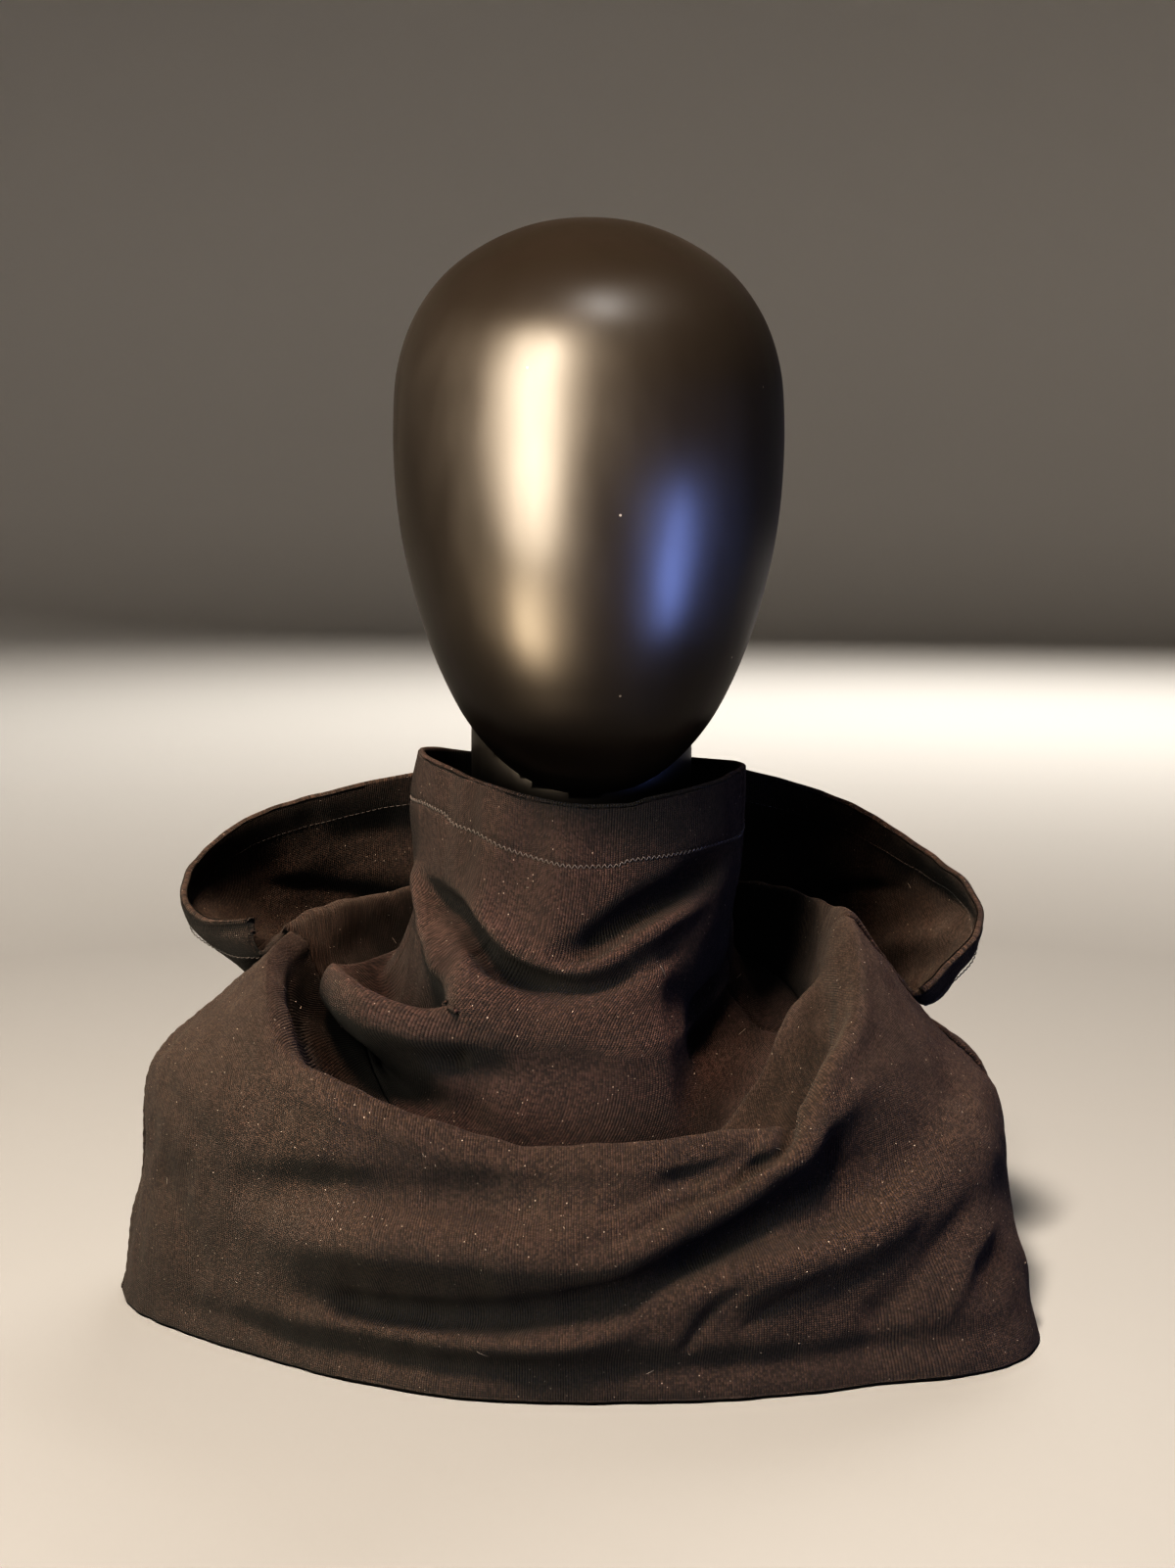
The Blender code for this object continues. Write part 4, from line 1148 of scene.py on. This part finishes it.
def knit(name, colour):
    """Fine jersey: upright wales of small V stitches, each a little lighter or darker, with a nap, and
    painted shade between the wales and deep in folds.
    """
    material, tree, shader = plain(name, colour, KNIT_ROUGHNESS)
    uv = tree.nodes.new("ShaderNodeUVMap")
    uv.uv_map = "flat_cloth"
    parts = tree.nodes.new("ShaderNodeSeparateXYZ")
    tree.links.new(uv.outputs["UV"], parts.inputs[0])
    wale = sums(tree, "MULTIPLY", parts.outputs["X"], 1 / (WALE * MM))
    course = sums(tree, "MULTIPLY", parts.outputs["Y"], 1 / (COURSE * MM))
    ridge = sums(tree, "ABSOLUTE", sums(tree, "SINE", sums(tree, "MULTIPLY", wale, math.pi)))
    phase = sums(tree, "ADD", course, sums(tree, "PINGPONG", wale, 0.5))
    loops = sums(tree, "SINE", sums(tree, "MULTIPLY", phase, 2 * math.pi))
    stitch = sums(tree, "MULTIPLY_ADD", loops, LOOP_SHARE, ridge)
    ribbed = bump(tree, stitch, WALE_DEPTH * MM, 1.0)
    fuzz = noise(tree, NAP_SCALE, 3)
    tree.links.new(bump(tree, fuzz, NAP_DEPTH * MM, NAP_STRENGTH, ribbed), shader.inputs["Normal"])

    cell = tree.nodes.new("ShaderNodeCombineXYZ")
    tree.links.new(sums(tree, "FLOOR", wale), cell.inputs[0])
    tree.links.new(sums(tree, "FLOOR", phase), cell.inputs[1])
    chance = tree.nodes.new("ShaderNodeTexWhiteNoise")
    chance.noise_dimensions = "2D"
    tree.links.new(cell.outputs[0], chance.inputs["Vector"])
    light = tuple(HEATHER_LIGHT * c for c in colour)
    dark = tuple(HEATHER_DARK * c for c in colour)
    grain = sums(tree, "POWER", chance.outputs["Value"], HEATHER_POWER)
    heather = mix_colour(tree, grain, dark, light)
    # Painted shade: the colour darkens in the grooves between the wales.
    wale_shaded = mix_colour(tree, spread(tree, ridge, *WALE_SHADE_RANGE), heather, dark)
    clouds = spread(tree, noise(tree, CLOUD_SCALE, 2), *CLOUD_RANGE)
    clouded = mix_colour(tree, clouds, wale_shaded, dark)
    dusted = mix_colour(tree, specks(tree, *FLUFF_DOTS), clouded, PALE_FLUFF)
    # Painted shade: the colour darkens deep in folds and hollows, where ambient occlusion finds cloth
    # close by.
    fold_occlusion = tree.nodes.new("ShaderNodeAmbientOcclusion")
    fold_occlusion.samples = FOLD_SHADE_SAMPLES
    fold_occlusion.inputs["Distance"].default_value = FOLD_SHADE_REACH * MM
    fold_shade_colour = tuple(FOLD_SHADE_SHARE * c for c in colour)
    shaded = mix_colour(tree, spread(tree, fold_occlusion.outputs["AO"], *FOLD_SHADE_RANGE), dusted, fold_shade_colour)
    tree.links.new(shaded, shader.inputs["Base Color"])
    shader.inputs["Sheen Weight"].default_value = SHEEN
    shader.inputs["Sheen Roughness"].default_value = SHEEN_ROUGHNESS
    shader.inputs["Sheen Tint"].default_value = (*SHEEN_TINT, 1)
    shader.inputs["Specular IOR Level"].default_value = KNIT_SPECULAR
    return material


def satin(name):
    """Black-bronze lacquer with a satin gloss, faint scuffs and a few pale chips."""
    material, tree, shader = plain(name, SATIN, SATIN_ROUGHNESS)
    shader.inputs["Metallic"].default_value = SATIN_METAL
    shader.inputs["Anisotropic"].default_value = SATIN_STREAK
    scuffs = noise(tree, SCUFF_SCALE, 6, SCUFF_STRETCH)
    tree.links.new(spread(tree, scuffs, *SCUFF_RANGE), shader.inputs["Roughness"])
    chipped = mix_colour(tree, specks(tree, *CHIP_DOTS), SATIN, CHIP)
    tree.links.new(chipped, shader.inputs["Base Color"])
    skin = noise(tree, SKIN_SCALE, 2)
    tree.links.new(bump(tree, skin, SKIN_DEPTH * MM, 0.5), shader.inputs["Normal"])
    return material


def light(name, azimuth, elevation, distance, width, height, power, colour, use):
    """A soft box that faces the middle of the object."""
    angle, rise = math.radians(azimuth), math.radians(elevation)
    lamp = bpy.data.lights.new(name, "AREA")
    lamp.shape = "RECTANGLE"
    lamp.size, lamp.size_y = width, height
    lamp.energy = power
    lamp.color = colour
    holder = bpy.data.objects.new(name, lamp)
    flat = distance * math.cos(rise)
    holder.location = (
        flat * math.sin(angle),
        -flat * math.cos(angle),
        LIGHT_AIM + distance * math.sin(rise),
    )
    holder.rotation_euler = (math.pi / 2 - rise, 0, angle)
    holder.visible_camera = False
    holder.visible_glossy = use == "gloss"
    holder.visible_diffuse = use == "cloth"
    bpy.context.scene.collection.objects.link(holder)
    return holder


def studio():
    """A pale floor that curves up into a low wall all round, soft lights and a pale sky."""
    marks = np.array(STUDIO_PROFILE, float)
    at = np.linspace(0, len(marks) - 1, STUDIO_RINGS)
    radius, height = smooth(np.arange(len(marks)), marks, at).T
    angle = np.arange(STUDIO_SIDES) * 2 * math.pi / STUDIO_SIDES
    places = np.stack([
        radius[:, None] * np.sin(angle),
        radius[:, None] * np.cos(angle),
        np.broadcast_to(height[:, None], (len(at), len(angle))),
    ], axis=-1).reshape(-1, 3)
    number = np.arange(len(places)).reshape(len(at), len(angle))
    after = np.roll(number, -1, axis=1)
    faces = np.stack([number[:-1], number[1:], after[1:], after[:-1]], axis=-1).reshape(-1, 4).tolist()
    material, tree, shader = plain("pale_floor", FLOOR_COLOUR, 1.0)
    shader.inputs["Specular IOR Level"].default_value = 0.0
    away = tree.nodes.new("ShaderNodeVectorMath")
    away.operation = "LENGTH"
    tree.links.new(tree.nodes.new("ShaderNodeTexCoord").outputs["Object"], away.inputs[0])
    # Painted light: the colour grows paler with distance from the object, making up for the lights'
    # falloff.
    share = spread(tree, away.outputs["Value"], WALL_START, WALL_END)
    tree.links.new(mix_colour(tree, share, FLOOR_COLOUR, WALL_COLOUR), shader.inputs["Base Color"])
    mesh_piece("floor", places, faces, material)
    world = bpy.data.worlds.new("studio")
    bpy.context.scene.world = world
    world.use_nodes = True
    sky = world.node_tree.nodes["Background"]
    sky.inputs["Color"].default_value = (*SKY_COLOUR, 1)
    sky.inputs["Strength"].default_value = SKY_POWER
    for lamp in LIGHTS:
        light(*lamp)


def camera():
    bpy.context.scene.view_settings.view_transform = "Standard"
    bpy.context.scene.view_settings.look = "Very High Contrast"
    lens = bpy.data.cameras.new("camera")
    lens.lens = CAMERA_LENS
    lens.sensor_width = 36
    holder = bpy.data.objects.new("camera", lens)
    holder.location = CAMERA_PLACE
    holder.rotation_euler = (math.radians(90 - CAMERA_PITCH), 0, 0)
    bpy.context.scene.collection.objects.link(holder)
    bpy.context.scene.camera = holder


def place(piece, node, slot):
    """The piece stands for this CAD node; its slot is not used."""
    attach(piece, BODY)
    if node:
        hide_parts(node)


def main():
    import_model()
    rng = np.random.default_rng(SEED)

    gaiter_knit = knit("gaiter_jersey", GAITER_BROWN)
    mantle_knit = knit("mantle_jersey", MANTLE_BROWN)
    hood_knit = knit("hood_jersey", MANTLE_BROWN)
    thread = plain("thread", THREAD_BROWN, 0.7)[0]
    dark_thread = plain("dark_thread", DARK_THREAD, 0.8)[0]
    fluff = plain("lint", PALE_FLUFF, 0.9)[0]

    form = display_form(satin("display_satin"))
    front, front_face = mantle_front(mantle_knit, rng)
    back, _ = mantle_back(mantle_knit, rng)
    left, left_face = hood_half("hood_left_cloth", SIDE_SEAM, 180, hood_knit, rng)
    right, right_face = hood_half("hood_right_cloth", 180, 360 - SIDE_SEAM, hood_knit, rng)
    gaiter, gaiter_face = neck_gaiter(gaiter_knit, rng)
    zigzag = hem_stitches(gaiter_face, thread)
    left_stitches = rim_stitches("hood_left_stitches", left_face, dark_thread)
    right_stitches = rim_stitches("hood_right_stitches", right_face, dark_thread)
    counts = (
        (front_face, LINT_FRONT), (gaiter_face, LINT_GAITER),
        (left_face, LINT_HOOD), (right_face, LINT_HOOD),
    )
    dust = lint(counts, fluff, rng)

    place(form, "display_form", "satin_form")
    place(front, "mantle_front", "mantle_knit")
    place(back, "mantle_back", "mantle_knit")
    place(left, "hood_left", "hood_knit")
    place(right, "hood_right", "hood_knit")
    place(gaiter, "neck_gaiter", "gaiter_knit")
    place(zigzag, None, "gaiter_knit")
    place(left_stitches, None, "hood_knit")
    place(right_stitches, None, "hood_knit")
    place(dust, None, "mantle_knit")

    studio()
    camera()


main()
